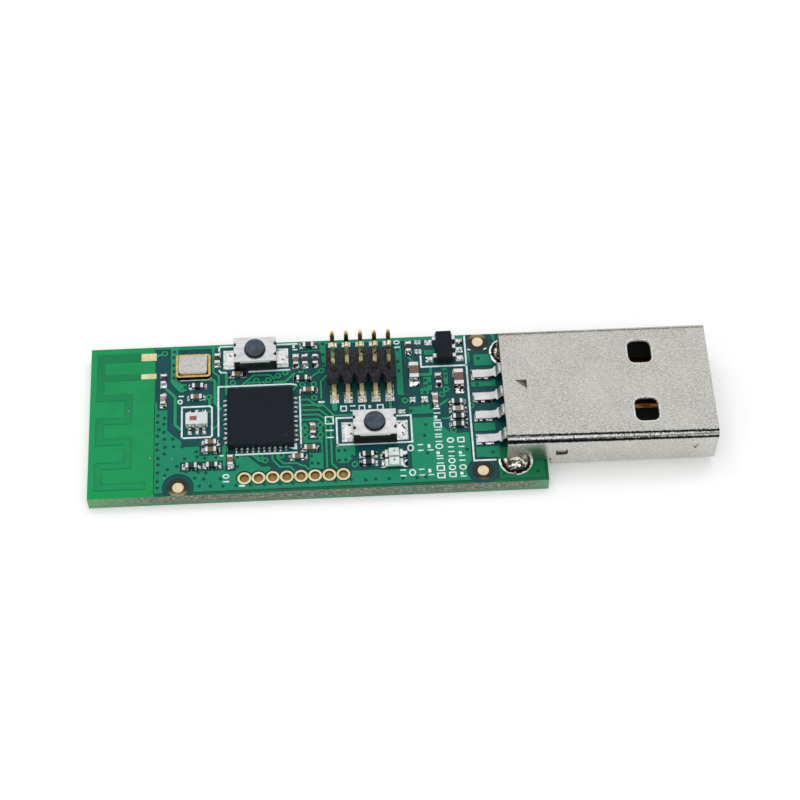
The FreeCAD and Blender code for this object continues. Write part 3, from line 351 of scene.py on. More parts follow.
def nickel_shell():
    """Steel sheet, folded, with satin nickel: warm pale grey, with the grain of the rolled sheet.

    Two ragged dark bands run along each fold, where it starts and ends: painted reflections of the dim
    room."""
    made, tree = finish("satin_nickel_steel", "#c4c2bc", Metallic=1.0, Roughness=0.26)
    # The grain is 0.03 mm. It is drawn 0.13 mm long, to show.
    colour = mottle(tree, "#dad8d2", "#a09e98", 0.13, stretch=(0.7, 1, 1), detail=4)
    colour = mottle(tree, colour, "#d8d7d2", 3.0, 0, 0.35)
    (rear, _, _), (mouth, side, top) = span("usb_shell")
    from_middle, up = coordinate(tree, 1, mirrored(tree)), coordinate(tree, 2)
    rough = patches(tree, 0.14, -0.07 * MM, 0.07 * MM, detail=2)
    # The painted reflections run out of the plug's mouth slightly lower than they start.
    slant = reach(tree, 0, rear, mouth, 0.16 * MM, -0.1 * MM)
    across = add_node(tree, "ShaderNodeMath", {0: rough, 1: slant}, operation="ADD")
    across = add_node(tree, "ShaderNodeMath", {0: from_middle, 1: across}, operation="ADD")
    height = add_node(tree, "ShaderNodeMath", {0: rough, 1: slant}, operation="SUBTRACT")
    height = add_node(tree, "ShaderNodeMath", {0: up, 1: height}, operation="ADD")
    on_top = reach(tree, 2, top - 0.3, top - 0.25)
    upper = strip(tree, across, side - FOLD, side - FOLD + 0.27, 0.08, on_top)
    on_side = strip(tree, from_middle, side - 0.3, side + 1, 0.05)
    lower = strip(tree, height, top - FOLD, top - FOLD + 0.38, 0.06, on_side)
    flecks = patches(tree, 0.12, -0.9, 0.8, detail=2)
    flecks = strip(tree, up, top - 0.4, top + 1, 0.05, flecks)
    crest = strip(tree, from_middle, side - 0.42, side + 1, 0.1, flecks)
    # The painted dark reflections of the folds, with dark flecks on the crest.
    fold_reflections = add_node(tree, "ShaderNodeMath", {0: upper, 1: lower}, operation="MAXIMUM")
    fold_reflections = add_node(tree, "ShaderNodeMath", {0: fold_reflections, 1: crest}, operation="MAXIMUM")
    # The painted reflections are faint on the far fold and full on the near one.
    fold_reflections = add_node(tree, "ShaderNodeMath", {0: fold_reflections, 1: reach(tree, 1, -1, 1, 1, 0.08)},
                     operation="MULTIPLY")
    mix = {FACTOR: fold_reflections, FIRST: colour, SECOND: "#141619"}
    colour = add_node(tree, "ShaderNodeMix", mix, MIXED, data_type="RGBA")
    return dress(made, colour, 0.13, 0.008, stretch=(0.7, 1, 1), detail=4)


def rolled_edge():
    """The sheet where the punch rolled its edge: frosted, nearly white, with grey scoring."""
    made, tree = finish("punched_nickel_edge", "#e9e8e5", Metallic=0.4, Roughness=0.4)
    scored = mottle(tree, "#f7f6f4", "#8d8c88", 0.16, -0.7, 0.9, stretch=(1, 1, 0.5))
    return dress(made, scored, 0.12, 0.008)


def pressed_stainless():
    """Stainless sheet, stamped: bright and slightly brushed by rolling."""
    made, tree = finish("stamped_stainless", "#dfe0e1", Metallic=1.0, Roughness=0.3)
    return dress(made, mottle(tree, "#e6e7e7", "#cccdce", 0.4, stretch=(0.4, 1, 1)), 0.14, 0.004)


def lid_metal():
    """A nickel-iron lid, seam welded and marked by a laser: pale grey with darker flecks."""
    made, tree = finish("welded_nickel_iron_lid", "#d5d2cd", Metallic=1.0, Roughness=0.32)
    colour = mottle(tree, "#d9d8d5", "#c6c3be", 0.25, detail=4)
    colour = mottle(tree, colour, "#a29e98", 0.3, -1.4, 0.6, detail=4)
    return dress(made, colour, 0.12, 0.006)


def plug_contact(number):
    """A bronze strip, tinned at its tail with painted shade on its sides; gold in the plug's mouth, with a
    painted highlight along its near side and painted shade behind it.
    """
    made, tree = finish("gold_and_tin_bronze_strip_%d" % number, "#e6e7e8", Roughness=0.34)
    tin = mottle(tree, "#f4f4f4", "#d6d7d8", 0.5, stretch=(0.5, 1, 1))
    # The tail's sides and underside are painted dark grey as shade.
    tin = turned(tree, "#55585b", tin, -0.1, 0.4)
    # Along the gold's near side the strip is not metal, so the lamps light it as a painted highlight;
    # behind that the gold is painted dark as shade.
    highlight_end = span("usb_contact_%d" % number)[0][1] + 0.55
    gold = mottle(tree, "#ffb45c", "#94431a", 0.2, stretch=(0.2, 1, 1), sharp=1.6)
    gold = fade(tree, gold, "#6b3016", 1, highlight_end - 0.1, highlight_end)
    plated = PLUG_REAR - LENGTH / 2 + 0.4
    colour = fade(tree, tin, gold, 0, plated, plated + 0.2)
    highlight_strip = {0: reach(tree, 1, highlight_end, highlight_end - 0.1), 1: reach(tree, 0, plated, plated + 0.2)}
    painted_highlight = add_node(tree, "ShaderNodeMath", highlight_strip, operation="MULTIPLY")
    metal = add_node(tree, "ShaderNodeMath", {0: 1.0, 1: painted_highlight}, operation="SUBTRACT")
    return dress(made, colour, 0.3, 0.004, metal)


def header_pin_gold():
    """Gold-plated square wire, drawn and cut: pale gold, painted dark reflections on its upright, and
    solder over its foot.
    """
    made, tree = finish("drawn_wire_gold", "#efe0a8", Metallic=1.0, Roughness=0.2)
    gold = mottle(tree, "#fff8d2", "#e6cb80", 0.24, stretch=(1, 1, 0.5), sharp=1.4)
    # Dark streaks on the upright part are painted reflections.
    reflection_streaks = patches(tree, 0.35, -0.45, 1.05, stretch=(1, 1, 0.6), detail=4)
    front, back = span("header_body")[:, 1]
    gold = fade(tree, "#f1f1f0", gold, 1, front - 1.35, front - 1.2)
    gold = fade(tree, gold, "#f1f1f0", 1, back + 1.2, back + 1.35)
    tip = span("header_pins")[1][2] - 0.45
    drawn = strip(tree, coordinate(tree, 2), 2.2, tip, 0.15, reflection_streaks)
    mix = {FACTOR: drawn, FIRST: gold, SECOND: "#3b3112"}
    colour = add_node(tree, "ShaderNodeMix", mix, MIXED, data_type="RGBA")
    # The feet are wetted with solder. Its dull skin scatters light, so they stay bright by the body.
    return dress(made, colour, 0.3, 0.006, reach(tree, 2, 2.1, 2.5, 0.5, 1))


def moulded_nylon(name, colour, other, roughness, size):
    """Glass-filled nylon, injection moulded: dull with a slight sheen, faintly flecked."""
    made, tree = finish(name, colour, Roughness=roughness, IOR=1.53, Specular_IOR_Level=0.35)
    return dress(made, mottle(tree, colour, other, size, -0.3, 1, detail=5), 0.1, 0.008)


def plunger_nylon():
    """Slate nylon, injection moulded: satin and flecked on its face, with a painted dark reflection on its
    side.
    """
    made, tree = finish("moulded_slate_nylon", "#3a4856", Roughness=0.42, IOR=1.53,
                        Specular_IOR_Level=0.35)
    face = mottle(tree, "#2b3640", "#4a5a69", 0.6, detail=5)
    # The side is painted near black: a painted reflection of the dark gap round it.
    return dress(made, turned(tree, "#0c1015", face, 0.3, 0.6), 0.1, 0.006)


def button_sheet():
    """Stainless sheet, stamped and folded: bright on top, with a painted highlight at its bends and painted
    shade on its cut lips.
    """
    made, tree = finish("stamped_and_folded_stainless", "#e2e3e4", Roughness=0.3)
    lip_top = span("button_1_cover")[0][2] + 0.3
    # The lips are painted dark as shade, and white at their tops as a painted highlight of the bend; they
    # are not metal, so the painted colour shows.
    lip = mottle(tree, "#1a211e", "#6f6c5f", 0.2, -1.3, 0.9, detail=2)
    lip = fade(tree, lip, "#fbfbfb", 2, lip_top - 0.08, lip_top)
    top = mottle(tree, "#ebecec", "#cfd0d2", 0.35, stretch=(0.6, 1, 1))
    return dress(made, turned(tree, lip, top, 0.05, 0.3), 0.14, 0.005, upward(tree, 0.05, 0.3))


def fed_solder():
    """Solder fed from a wire by hand: amber flux in its hollow with painted highlights on it, a painted
    dark reflection round it, and a painted highlight on the rolled lip.
    """
    made, tree = finish("hand_fed_solder", "#eef0f2", Metallic=1.0, Roughness=0.16)
    offset = {0: mirrored(tree), 1: at(*leg_spots[1])}
    offset = add_node(tree, "ShaderNodeVectorMath", offset, operation="SUBTRACT")
    flat = {0: offset, 1: (1, 1, 0)}
    flat = add_node(tree, "ShaderNodeVectorMath", flat, operation="MULTIPLY")
    radius = add_node(tree, "ShaderNodeVectorMath", {0: flat}, "Value", operation="LENGTH")
    wavy = {0: radius, 1: patches(tree, 0.5, -0.12 * MM, 0.12 * MM)}
    ring = add_node(tree, "ShaderNodeMath", wavy, operation="ADD")
    amber = mottle(tree, "#6a6048", "#b4ab92", 0.5, detail=2)
    # White patches on the amber flux are painted highlights.
    colour = mottle(tree, amber, "#fbfaf4", 0.4, -2.0, 2.2, detail=1)
    # Outwards: a ring of painted dark reflection, then the rolled lip as a painted highlight.
    for start, end, beyond in ((0.95, 1.15, "#1d1a15"), (1.33, 1.4, "#f2f3f5")):
        limits = {"Value": ring, "From Min": start * MM, "From Max": end * MM}
        outside = add_node(tree, "ShaderNodeMapRange", limits)
        mix = {FACTOR: outside, FIRST: colour, SECOND: beyond}
        colour = add_node(tree, "ShaderNodeMix", mix, MIXED, data_type="RGBA")
    return dress(made, colour, 0.5, 0.03)


def lamp_resin():
    """Clear casting resin over a white cavity: milky, greenish at its sides."""
    made, tree = finish("cast_lamp_resin", "#e4ece8", Roughness=0.3, IOR=1.5)
    return dress(made, mottle(tree, "#eef3f0", "#c6d5cd", 0.35), 0.2, 0.006)


mask_on_copper = solder_mask("green_mask_on_copper", "#178e6a", "#118562")
mask_on_wire = solder_mask("green_mask_on_trace", "#259b6e", "#1b8f63")
# The pour by the plug is painted darker green as the plug's shade.
mask_in_plug_shade = solder_mask("green_mask_on_copper_in_painted_plug_shade", "#03794a", "#016c40")
mask_on_laminate = solder_mask("green_mask_on_laminate", "#0f5156", "#0b474c")
# The slopes at copper edges are painted dark green: painted shade along each step.
mask_on_edge = solder_mask("green_mask_on_copper_edge", "#064434", "#053a2d")
mask_in_via = solder_mask("green_mask_in_via", "#0a5947", "#074c3c")
mask_on_shore = solder_mask("green_mask_by_board_edge", "#0a6a48", "#085e3f")
mask_on_antenna = antenna_mask()
mask_by_antenna = solder_mask("green_mask_beside_antenna_trace", "#09874f", "#087f4a")
mask_clear = clear_mask()
laminate = glass_laminate()
brown_laminate = bare_laminate()
gold = bath_gold()
solder = land_solder()
bead_solder = melted_solder("beaded_solder", 0.22, 0.3, 0.006, -0.9)
tin = tin_plate("matt_tin", "#eceded", "#d0d1d2", 0.22, 0.008)
epoxy = moulded_epoxy("moulded_black_epoxy", "#0d151d", "#131c26")
button_finishes = {
    "base": moulded_nylon("moulded_black_nylon", "#121315", "#1d1f22", 0.5, 0.3),
    "cover": button_sheet(), "plunger": plunger_nylon(), "dome": pressed_stainless(),
    "terminals": dipped_terminal(),
}
node_finishes = {
    "circuit_board": laminate, "hole_rings": gold, "alignment_discs": gold,
    "printed_antenna": mask_on_antenna, "antenna_lands": gold, "solder_lands": solder,
    "radio_chip_body": epoxy, "radio_chip_terminals": tin,
    "crystal_base": crystal_case(), "crystal_lid": lid_metal(),
    "balun_body": fired_ceramic("white_glass_ceramic", "#e3e7e8", "#d3d8da"), "balun_terminals": tin,
    "brown_capacitor_bodies": fired_ceramic("brown_titanate_ceramic", "#80694f", "#69543e"),
    "dark_resistor_bodies": fired_ceramic("dark_coated_alumina", "#121316", "#202125"),
    "light_coil_bodies": fired_ceramic("pale_ferrite_ceramic", "#ab9c94", "#8d7d75"),
    "large_capacitor_bodies": fired_ceramic("red_brown_titanate_ceramic", "#775a52", "#644a43"),
    "chip_part_solder": melted_solder("fillet_solder", 0.14, 0.22, 0.03, 0.25),
    "header_body": moulded_nylon("moulded_header_nylon", "#101319", "#3b404c", 0.55, 0.2),
    "header_pins": header_pin_gold(), "regulator_body": epoxy, "regulator_leads": tin,
    "indicator_bases": mask_on_copper, "indicator_lenses": lamp_resin(), "indicator_terminals": tin,
    "usb_shell": nickel_shell(), "usb_insulator": button_finishes["base"],
    "leg_solder": fed_solder(), "contact_solder": solder,
}
cap_nodes = [name for name in nodes if name.endswith("_caps")]
for name in cap_nodes:
    node_finishes[name] = tin
for number in (1, 2):
    for part, made in button_finishes.items():
        node_finishes["button_%d_%s" % (number, part)] = made
for number in (1, 2, 3, 4):
    node_finishes["usb_contact_%d" % number] = plug_contact(number)

for name, node in nodes.items():
    node.data.materials.clear()
    node.data.materials.append(node_finishes[name])


# Edges: the solids' sharp corners get the small radius that pressing, moulding or melting leaves

def soften(name, radius):
    """Melts a node's facets together and bevels its corners by a radius in millimetres."""
    node = nodes[name]
    weld = node.modifiers.new("weld", "WELD")
    weld.merge_threshold = 0.0005 * MM
    edge = node.modifiers.new("edge", "BEVEL")
    edge.width = radius * MM
    edge.segments = 2
    edge.limit_method = "ANGLE"
    edge.angle_limit = math.radians(35)
    edge.harden_normals = True


for name in ("radio_chip_body", "header_body", "regulator_body", "crystal_base", "regulator_leads",
             "indicator_lenses", "balun_body", "solder_lands", "crystal_lid"):
    soften(name, 0.03)
for name in (*cap_nodes, "header_pins", "indicator_terminals"):
    soften(name, 0.045)
soften("usb_shell", 0.08)
for number in (1, 2):
    soften("button_%d_base" % number, 0.04)
    soften("button_%d_terminals" % number, 0.06)
    soften("button_%d_cover" % number, 0.1)
    soften("button_%d_plunger" % number, 0.05)
for number in (1, 2, 3, 4):
    soften("usb_contact_%d" % number, 0.05)


# Outlines on the board, as arrays of points that run anticlockwise

def box(x0, y0, x1, y1):
    return np.array([(x0, y0), (x1, y0), (x1, y1), (x0, y1)], float)


def box_round(spot, half_x, half_y):
    x, y = spot
    return box(x - half_x, y - half_y, x + half_x, y + half_y)


def rounded(x, y, length, width, corner):
    """A rectangle round a middle, with round corners of five points."""
    found = []
    for quarter, (side, end) in enumerate(((1, 1), (-1, 1), (-1, -1), (1, -1))):
        for step in range(5):
            turn = (quarter + step / 4) * math.pi / 2
            found.append((x + side * (length / 2 - corner) + corner * math.cos(turn),
                          y + end * (width / 2 - corner) + corner * math.sin(turn)))
    return np.array(found)


def disc(x, y, radius, count=20):
    turn = np.arange(count) * 2 * math.pi / count
    return np.stack([x + radius * np.cos(turn), y + radius * np.sin(turn)], 1)


def line(points, width, round_ends=True):
    """The outline of a line of one width with mitred corners."""
    spine = np.array(points, float)
    step = np.diff(spine, axis=0)
    step /= np.linalg.norm(step, axis=1)[:, None]
    normal = np.stack([-step[:, 1], step[:, 0]], 1)
    before = np.vstack([normal[:1], normal])
    after = np.vstack([normal, normal[-1:]])
    side = (before + after) / (1 + (before * after).sum(1))[:, None] * width / 2
    right = list(spine - side)
    left = list(spine + side)[::-1]
    if not round_ends:
        return np.array(right + left)
    turns = np.arange(1, 4) * math.pi / 4
    head = [spine[-1] + width / 2 * (-normal[-1] * math.cos(t) + step[-1] * math.sin(t)) for t in turns]
    tail = [spine[0] + width / 2 * (normal[0] * math.cos(t) - step[0] * math.sin(t)) for t in turns]
    return np.array(right + head + left + tail)


def grown(outline, amount):
    """An outline moved outwards by an amount, with mitred corners."""
    outline = np.array(outline, float)
    ahead = np.roll(outline, -1, 0) - outline
    ahead /= np.linalg.norm(ahead, axis=1)[:, None]
    normal = np.stack([ahead[:, 1], -ahead[:, 0]], 1)
    before = np.roll(normal, 1, 0)
    return outline + (before + normal) / (1 + (before * normal).sum(1))[:, None] * amount


def inside(points, outline):
    """Which points lie inside an outline."""
    x, y = points[:, 0], points[:, 1]
    found = np.zeros(len(points), bool)
    for (x0, y0), (x1, y1) in zip(outline, np.roll(outline, -1, 0)):
        if y0 != y1:
            cross = ((y0 > y) != (y1 > y)) & (x < (x1 - x0) * (y - y0) / (y1 - y0) + x0)
            found ^= cross
    return found


def top_outlines(name):
    """Outlines of the top faces of a node's solids, in millimetres."""
    mesh = nodes[name].data
    spots = np.array([vertex.co for vertex in mesh.vertices]) / MM
    top = spots[:, 2].max()
    count = {}
    for face in mesh.polygons:
        if all(spots[corner][2] > top - 1e-4 for corner in face.vertices):
            ring = [tuple(np.round(spots[corner][:2], 4)) for corner in face.vertices]
            for edge in zip(ring, ring[1:] + ring[:1]):
                count[edge] = count.get(edge, 0) + 1
    follow = {a: b for a, b in count if (b, a) not in count}
    found = []
    while follow:
        start, spot = follow.popitem()
        ring = [start]
        while spot != start:
            ring.append(spot)
            spot = follow.pop(spot)
        found.append(np.array(ring) + (LENGTH / 2, WIDTH / 2))
    return found


def turning(outline):
    """Positive for an outline that runs anticlockwise."""
    x, y = outline[:, 0], outline[:, 1]
    return (x * np.roll(y, -1) - y * np.roll(x, -1)).sum()


# Printed layers

OPEN, LOW, EDGE, HIGH, WIRE, DEEP, PIT, BRIGHT, SHADE, TRACE, SHORE, BARE = range(12)
board_outline = box(0, 0, LENGTH, WIDTH)


class Film:
    """A closed skin on one side of the board: kinds of ground at their own heights."""

    def __init__(self):
        self.shapes = []

    def lay(self, outline, kind, over=None):
        self.shapes.append((np.asarray(outline, float), kind, over))

    def build(self, name, levels, base):
        """Sorts the triangles between all outlines by the last outline laid over each."""
        verts = []
        edges = []
        for outline, kind, over in self.shapes:
            first = len(verts)
            count = len(outline)
            verts += [Vector(spot) for spot in outline]
            edges += [(first + step, first + (step + 1) % count) for step in range(count)]
        cut = delaunay_2d_cdt(verts, edges, [], 0, 1e-5, False)
        flat = np.array([(spot.x, spot.y) for spot in cut[0]])
        faces = np.array(cut[2])
        middles = flat[faces].mean(1)
        kinds = np.full(len(faces), OPEN)
        for outline, kind, over in self.shapes:
            low, high = outline.min(0), outline.max(0)
            near = np.nonzero(((middles > low) & (middles < high)).all(1))[0]
            hit = near[inside(middles[near], outline)]
            if over is not None:
                hit = hit[np.isin(kinds[hit], over)]
            kinds[hit] = kind
        kinds[~inside(middles, board_outline)] = OPEN
        raised = np.zeros(len(flat), bool)
        raised[faces[np.isin(kinds, (HIGH, WIRE, DEEP, TRACE))].ravel()] = True
        return self.mesh(name, flat, faces, kinds, raised, levels, base)

    def mesh(self, name, flat, faces, kinds, raised, levels, base):
        """Faces at their heights, slopes at copper edges, walls between steps, a flat back."""
        points, index, rings, looks = [], {}, [], []
        order = list(levels)
        down = levels[LOW][0] < base

        def point(spot, height):
            key = (spot, round(height, 5))
            if key not in index:
                index[key] = len(points)
                points.append(at(flat[spot][0], flat[spot][1], height))
            return index[key]

        def level(spot, kind):
            if kind in (EDGE, SHADE):
                return levels[HIGH][0] if raised[spot] else levels[LOW][0]
            return levels[kind][0]

        def add(ring, kind):
            rings.append(ring[::-1] if down else ring)
            looks.append(order.index(kind))

        sides = {}
        for face in np.nonzero(kinds != OPEN)[0]:
            ring = [int(spot) for spot in faces[face]]
            kind = int(kinds[face])
            add([point(spot, level(spot, kind)) for spot in ring], kind)
            add([point(spot, base) for spot in ring[::-1]], LOW)
            for a, b in zip(ring, ring[1:] + ring[:1]):
                sides[a, b] = kind
        for (a, b), kind in sides.items():
            other = sides.get((b, a))
            high = (level(a, kind), level(b, kind))
            low = (base, base) if other is None else (level(a, other), level(b, other))
            rise = high[0] + high[1] - low[0] - low[1]
            if (-rise if down else rise) > 1e-6:
                wall = [point(a, low[0]), point(b, low[1]), point(b, high[1]), point(a, high[0])]
                wall = list(dict.fromkeys(wall))
                if len(wall) > 2:
                    add(wall, EDGE if kind in (HIGH, WIRE, DEEP) else kind)
        piece = sheet_mesh(name, points, rings, looks)
        for height, made in levels.values():
            piece.data.materials.append(made)
        return piece


def sheet_mesh(name, points, faces, looks=None, smooth=False):
    mesh = bpy.data.meshes.new(name)
    mesh.from_pydata(points, [], faces)
    mesh.update()
    if looks:
        mesh.polygons.foreach_set("material_index", looks)
    if smooth:
        mesh.shade_smooth()
    made = bpy.data.objects.new(name, mesh)
    bpy.context.collection.objects.link(made)
    return made


def join_rings(faces, low, high, count):
    """Faces from one ring of points to the next, given by their first points."""
    for step in range(count):
        after = (step + 1) % count
        faces.append([low + step, low + after, high + after, high + step])


def fix(piece, made=None):
    """Every added piece rides on the board and takes a slot's finish."""
    if made:
        piece.data.materials.append(made)
    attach(piece, "board")


# Copper under the mask, read from the board's near side to its far side

end_pour = box(36.9, 0.3, 41.1, 3.6)
pours = [
    end_pour,
    box(5.95, 0.3, 34.55, 1.8),
    [(5.95, 1.7), (12.6, 1.7), (12.6, 5.0), (8.4, 5.0), (8.4, 5.6), (7.1, 6.8), (7.1, 9.9), (5.95, 9.9)],
    [(12.5, 1.7), (16.4, 1.7), (16.4, 2.6), (15.6, 2.6), (14.4, 3.75), (12.5, 3.75)],
    [(19.9, 2.1), (21.2, 2.1), (21.2, 7.0), (19.4, 7.0), (19.4, 4.9), (20.9, 4.9), (20.9, 4.0),
     (19.9, 4.0)],
    [(22.3, 2.9), (22.6, 2.6), (23.4, 2.6), (24.1, 3.4), (24.1, 4.4), (22.3, 4.4)],
    [(29.15, 1.7), (34.55, 1.7), (34.55, 5.3), (32.9, 5.3), (32.2, 6.0), (31.6, 7.1), (29.15, 7.1)],
    [(29.15, 7.5), (31.4, 7.5), (31.4, 11.5), (30.65, 11.5), (30.65, 10.3), (30.3, 10.3), (30.3, 8.3),
     (29.15, 8.3)],
    box(5.95, 15.7, 7.5, 15.97),
    [(21.35, 13.1), (21.75, 13.1), (21.75, 15.97), (19.4, 15.97), (19.4, 14.58), (21.35, 14.58)],
    box(30.78, 13.9, 31.9, 14.48),
    box(35.0, 5.4, 36.95, 6.3),
    box(35.0, 2.6, 37.1, 3.9),
    [(35.45, 12.5), (37.2, 12.5), (37.0, 13.75), (35.45, 13.75)],
    box(35.0, 10.2, 37.3, 10.9),
    box(35.0, 15.2, 37.6, 15.97),
    box(28.2, 9.6, 28.8, 15.1),
    box(32.45, 10.6, 32.95, 12.4),
    box(8.1, 11.0, 9.0, 11.8),
]
# Copper along the back edge, up to the lands that stand in it
edge_pour = box(7.4, 15.58, 34.6, 15.98)
traces = [
    (0.25, [(31.4, 11.73), (31.4, 12.4)]),
    (0.7, [(7.72, 15.7), (7.72, 12.1), (8.4, 11.2)]),
    (0.3, [(7.0, 11.3), (7.8, 10.4), (7.8, 7.4), (8.3, 6.9)]),
    (0.3, [(10.2, 12.15), (11.2, 12.15), (11.45, 11.9), (11.45, 9.6), (11.95, 8.9)]),
    (0.22, [(11.25, 13.0), (11.8, 12.5), (11.8, 11.4)]),
    (0.3, [(11.3, 15.7), (11.3, 13.1)]),
    (0.28, [(12.5, 12.8), (12.5, 10.5)]),
    (0.28, [(10.95, 10.2), (10.95, 9.4)]),
    (0.25, [(12.3, 5.0), (12.25, 2.9)]),
    (0.2, [(11.3, 6.8), (11.75, 7.25)]),
    (0.22, [(13.95, 11.4), (15.0, 12.45), (16.5, 12.45), (16.9, 12.0)]),
    (0.25, [(16.9, 11.6), (17.9, 11.6), (18.7, 12.35), (18.95, 12.6), (19.9, 12.6)]),
    (0.2, [(14.85, 4.0), (14.85, 3.8), (15.45, 3.2), (15.9, 3.25)]),
    (0.2, [(16.6, 4.0), (16.6, 3.3), (17.25, 2.5), (18.15, 2.5), (18.7, 1.9)]),
    (0.2, [(17.05, 4.0), (17.05, 3.4), (17.6, 2.85), (18.75, 2.85), (19.1, 2.6), (19.5, 2.5),
           (20.0, 1.95)]),
    (0.2, [(19.3, 8.95), (21.3, 8.95), (22.3, 7.7), (24.0, 7.7)]),
    (0.2, [(19.3, 8.4), (21.0, 8.4), (22.3, 7.1)]),
    (0.2, [(19.3, 7.9), (20.9, 7.9), (21.95, 6.9), (21.95, 2.6), (22.5, 2.0)]),
    (0.2, [(19.3, 7.38), (20.8, 7.38), (21.5, 6.7), (21.5, 1.9)]),
    (0.2, [(19.3, 9.55), (20.0, 9.55), (20.8, 8.8), (21.2, 8.8)]),
    (0.2, [(20.2, 11.9), (21.2, 12.65)]),
    (0.2, [(21.75, 12.1), (21.2, 11.45), (21.2, 9.6)]),
    (0.2, [(18.6, 10.65), (19.0, 11.1)]),
    (0.5, [(22.4, 9.0), (22.4, 8.4)]),
    (0.25, [(27.5, 9.0), (27.5, 8.2)]),
    (0.2, [(29.4, 13.7), (29.8, 13.25)]),
    (0.3, [(30.3, 11.75), (31.4, 11.75)]),
    (0.25, [(32.0, 8.35), (32.8, 8.9)]),
    (0.2, [(32.2, 6.9), (32.9, 6.9)]),
    (0.2, [(28.85, 9.0), (29.4, 9.0)]),
    (0.18, [(35.02, 13.0), (35.02, 15.3)]),
    (0.2, [(9.9, 8.7), (10.9, 8.7), (11.1, 8.5)]),
    (0.25, [(6.8, 15.25), (6.1, 15.0)]),
]
via_spots = [
    (6.25, 0.85), (6.25, 1.5), (6.25, 2.4), (6.3, 3.25), (6.3, 3.9), (6.2, 4.8), (6.2, 5.4), (6.2, 6.25),
    (6.35, 6.95), (6.2, 7.75), (6.25, 8.45), (6.9, 2.1), (7.15, 2.7), (8.0, 3.0), (6.85, 4.35), (6.85, 5.9),
    (7.6, 5.9), (6.8, 6.65), (6.8, 7.5), (6.85, 8.15), (9.1, 5.35), (9.75, 4.45), (9.8, 3.9), (8.8, 2.4),
    (9.9, 2.3), (9.6, 1.7), (10.4, 1.55), (10.0, 0.85), (6.9, 5.05), (7.7, 5.08), (8.45, 5.03), (9.8, 5.2),
    (8.7, 3.75), (7.7, 15.4), (7.65, 14.75), (7.65, 13.9), (7.7, 13.2), (7.65, 12.5), (8.7, 11.4),
    (8.7, 10.7), (10.5, 3.75), (13.45, 2.7), (10.6, 2.2), (11.9, 1.5), (11.0, 0.8), (12.1, 0.75),
    (13.3, 0.75), (14.6, 0.75), (15.85, 0.75), (17.2, 0.75), (18.4, 0.75), (19.7, 0.78), (21.0, 0.8),
    (20.15, 2.75), (20.7, 2.7), (20.1, 3.5), (22.2, 0.8), (23.6, 0.85), (24.9, 0.75), (25.8, 0.8),
    (27.0, 0.78), (28.25, 0.78), (29.5, 0.75), (30.3, 0.8), (22.6, 3.95), (23.15, 3.95), (22.6, 2.95),
    (23.2, 2.95), (23.8, 3.3), (30.6, 6.3), (30.45, 5.15), (30.6, 3.3), (29.35, 7.85), (21.5, 15.6),
    (21.5, 14.4), (21.5, 13.4), (28.45, 14.6), (28.4, 13.3), (28.45, 12.25), (30.75, 9.8), (30.7, 8.5),
    (30.85, 11.1), (31.2, 10.7), (30.85, 10.5), (32.75, 12.0), (32.75, 11.5), (36.5, 3.1), (32.9, 2.95),
    (34.2, 3.5), (37.4, 0.8), (40.4, 0.95), (35.9, 13.25), (35.6, 10.45), (18.95, 12.6), (19.8, 12.55),
    (12.8, 4.4),
]
ring_spots = [
    (6.8, 15.25), (11.5, 3.75), (13.45, 3.7), (15.5, 3.75), (17.4, 3.7), (15.95, 3.25), (19.6, 6.5),
    (19.6, 5.75), (24.0, 2.45), (21.0, 6.75), (21.0, 5.7), (10.9, 10.25), (13.1, 11.7), (15.25, 11.85),
    (16.35, 11.85), (17.95, 12.6), (17.25, 12.3), (14.7, 11.45), (15.8, 11.45), (19.5, 11.2), (20.55, 11.2),
    (20.55, 9.7), (21.3, 12.65), (28.85, 9.0), (33.1, 5.6), (34.9, 8.15), (32.7, 10.05), (32.3, 9.5),
]


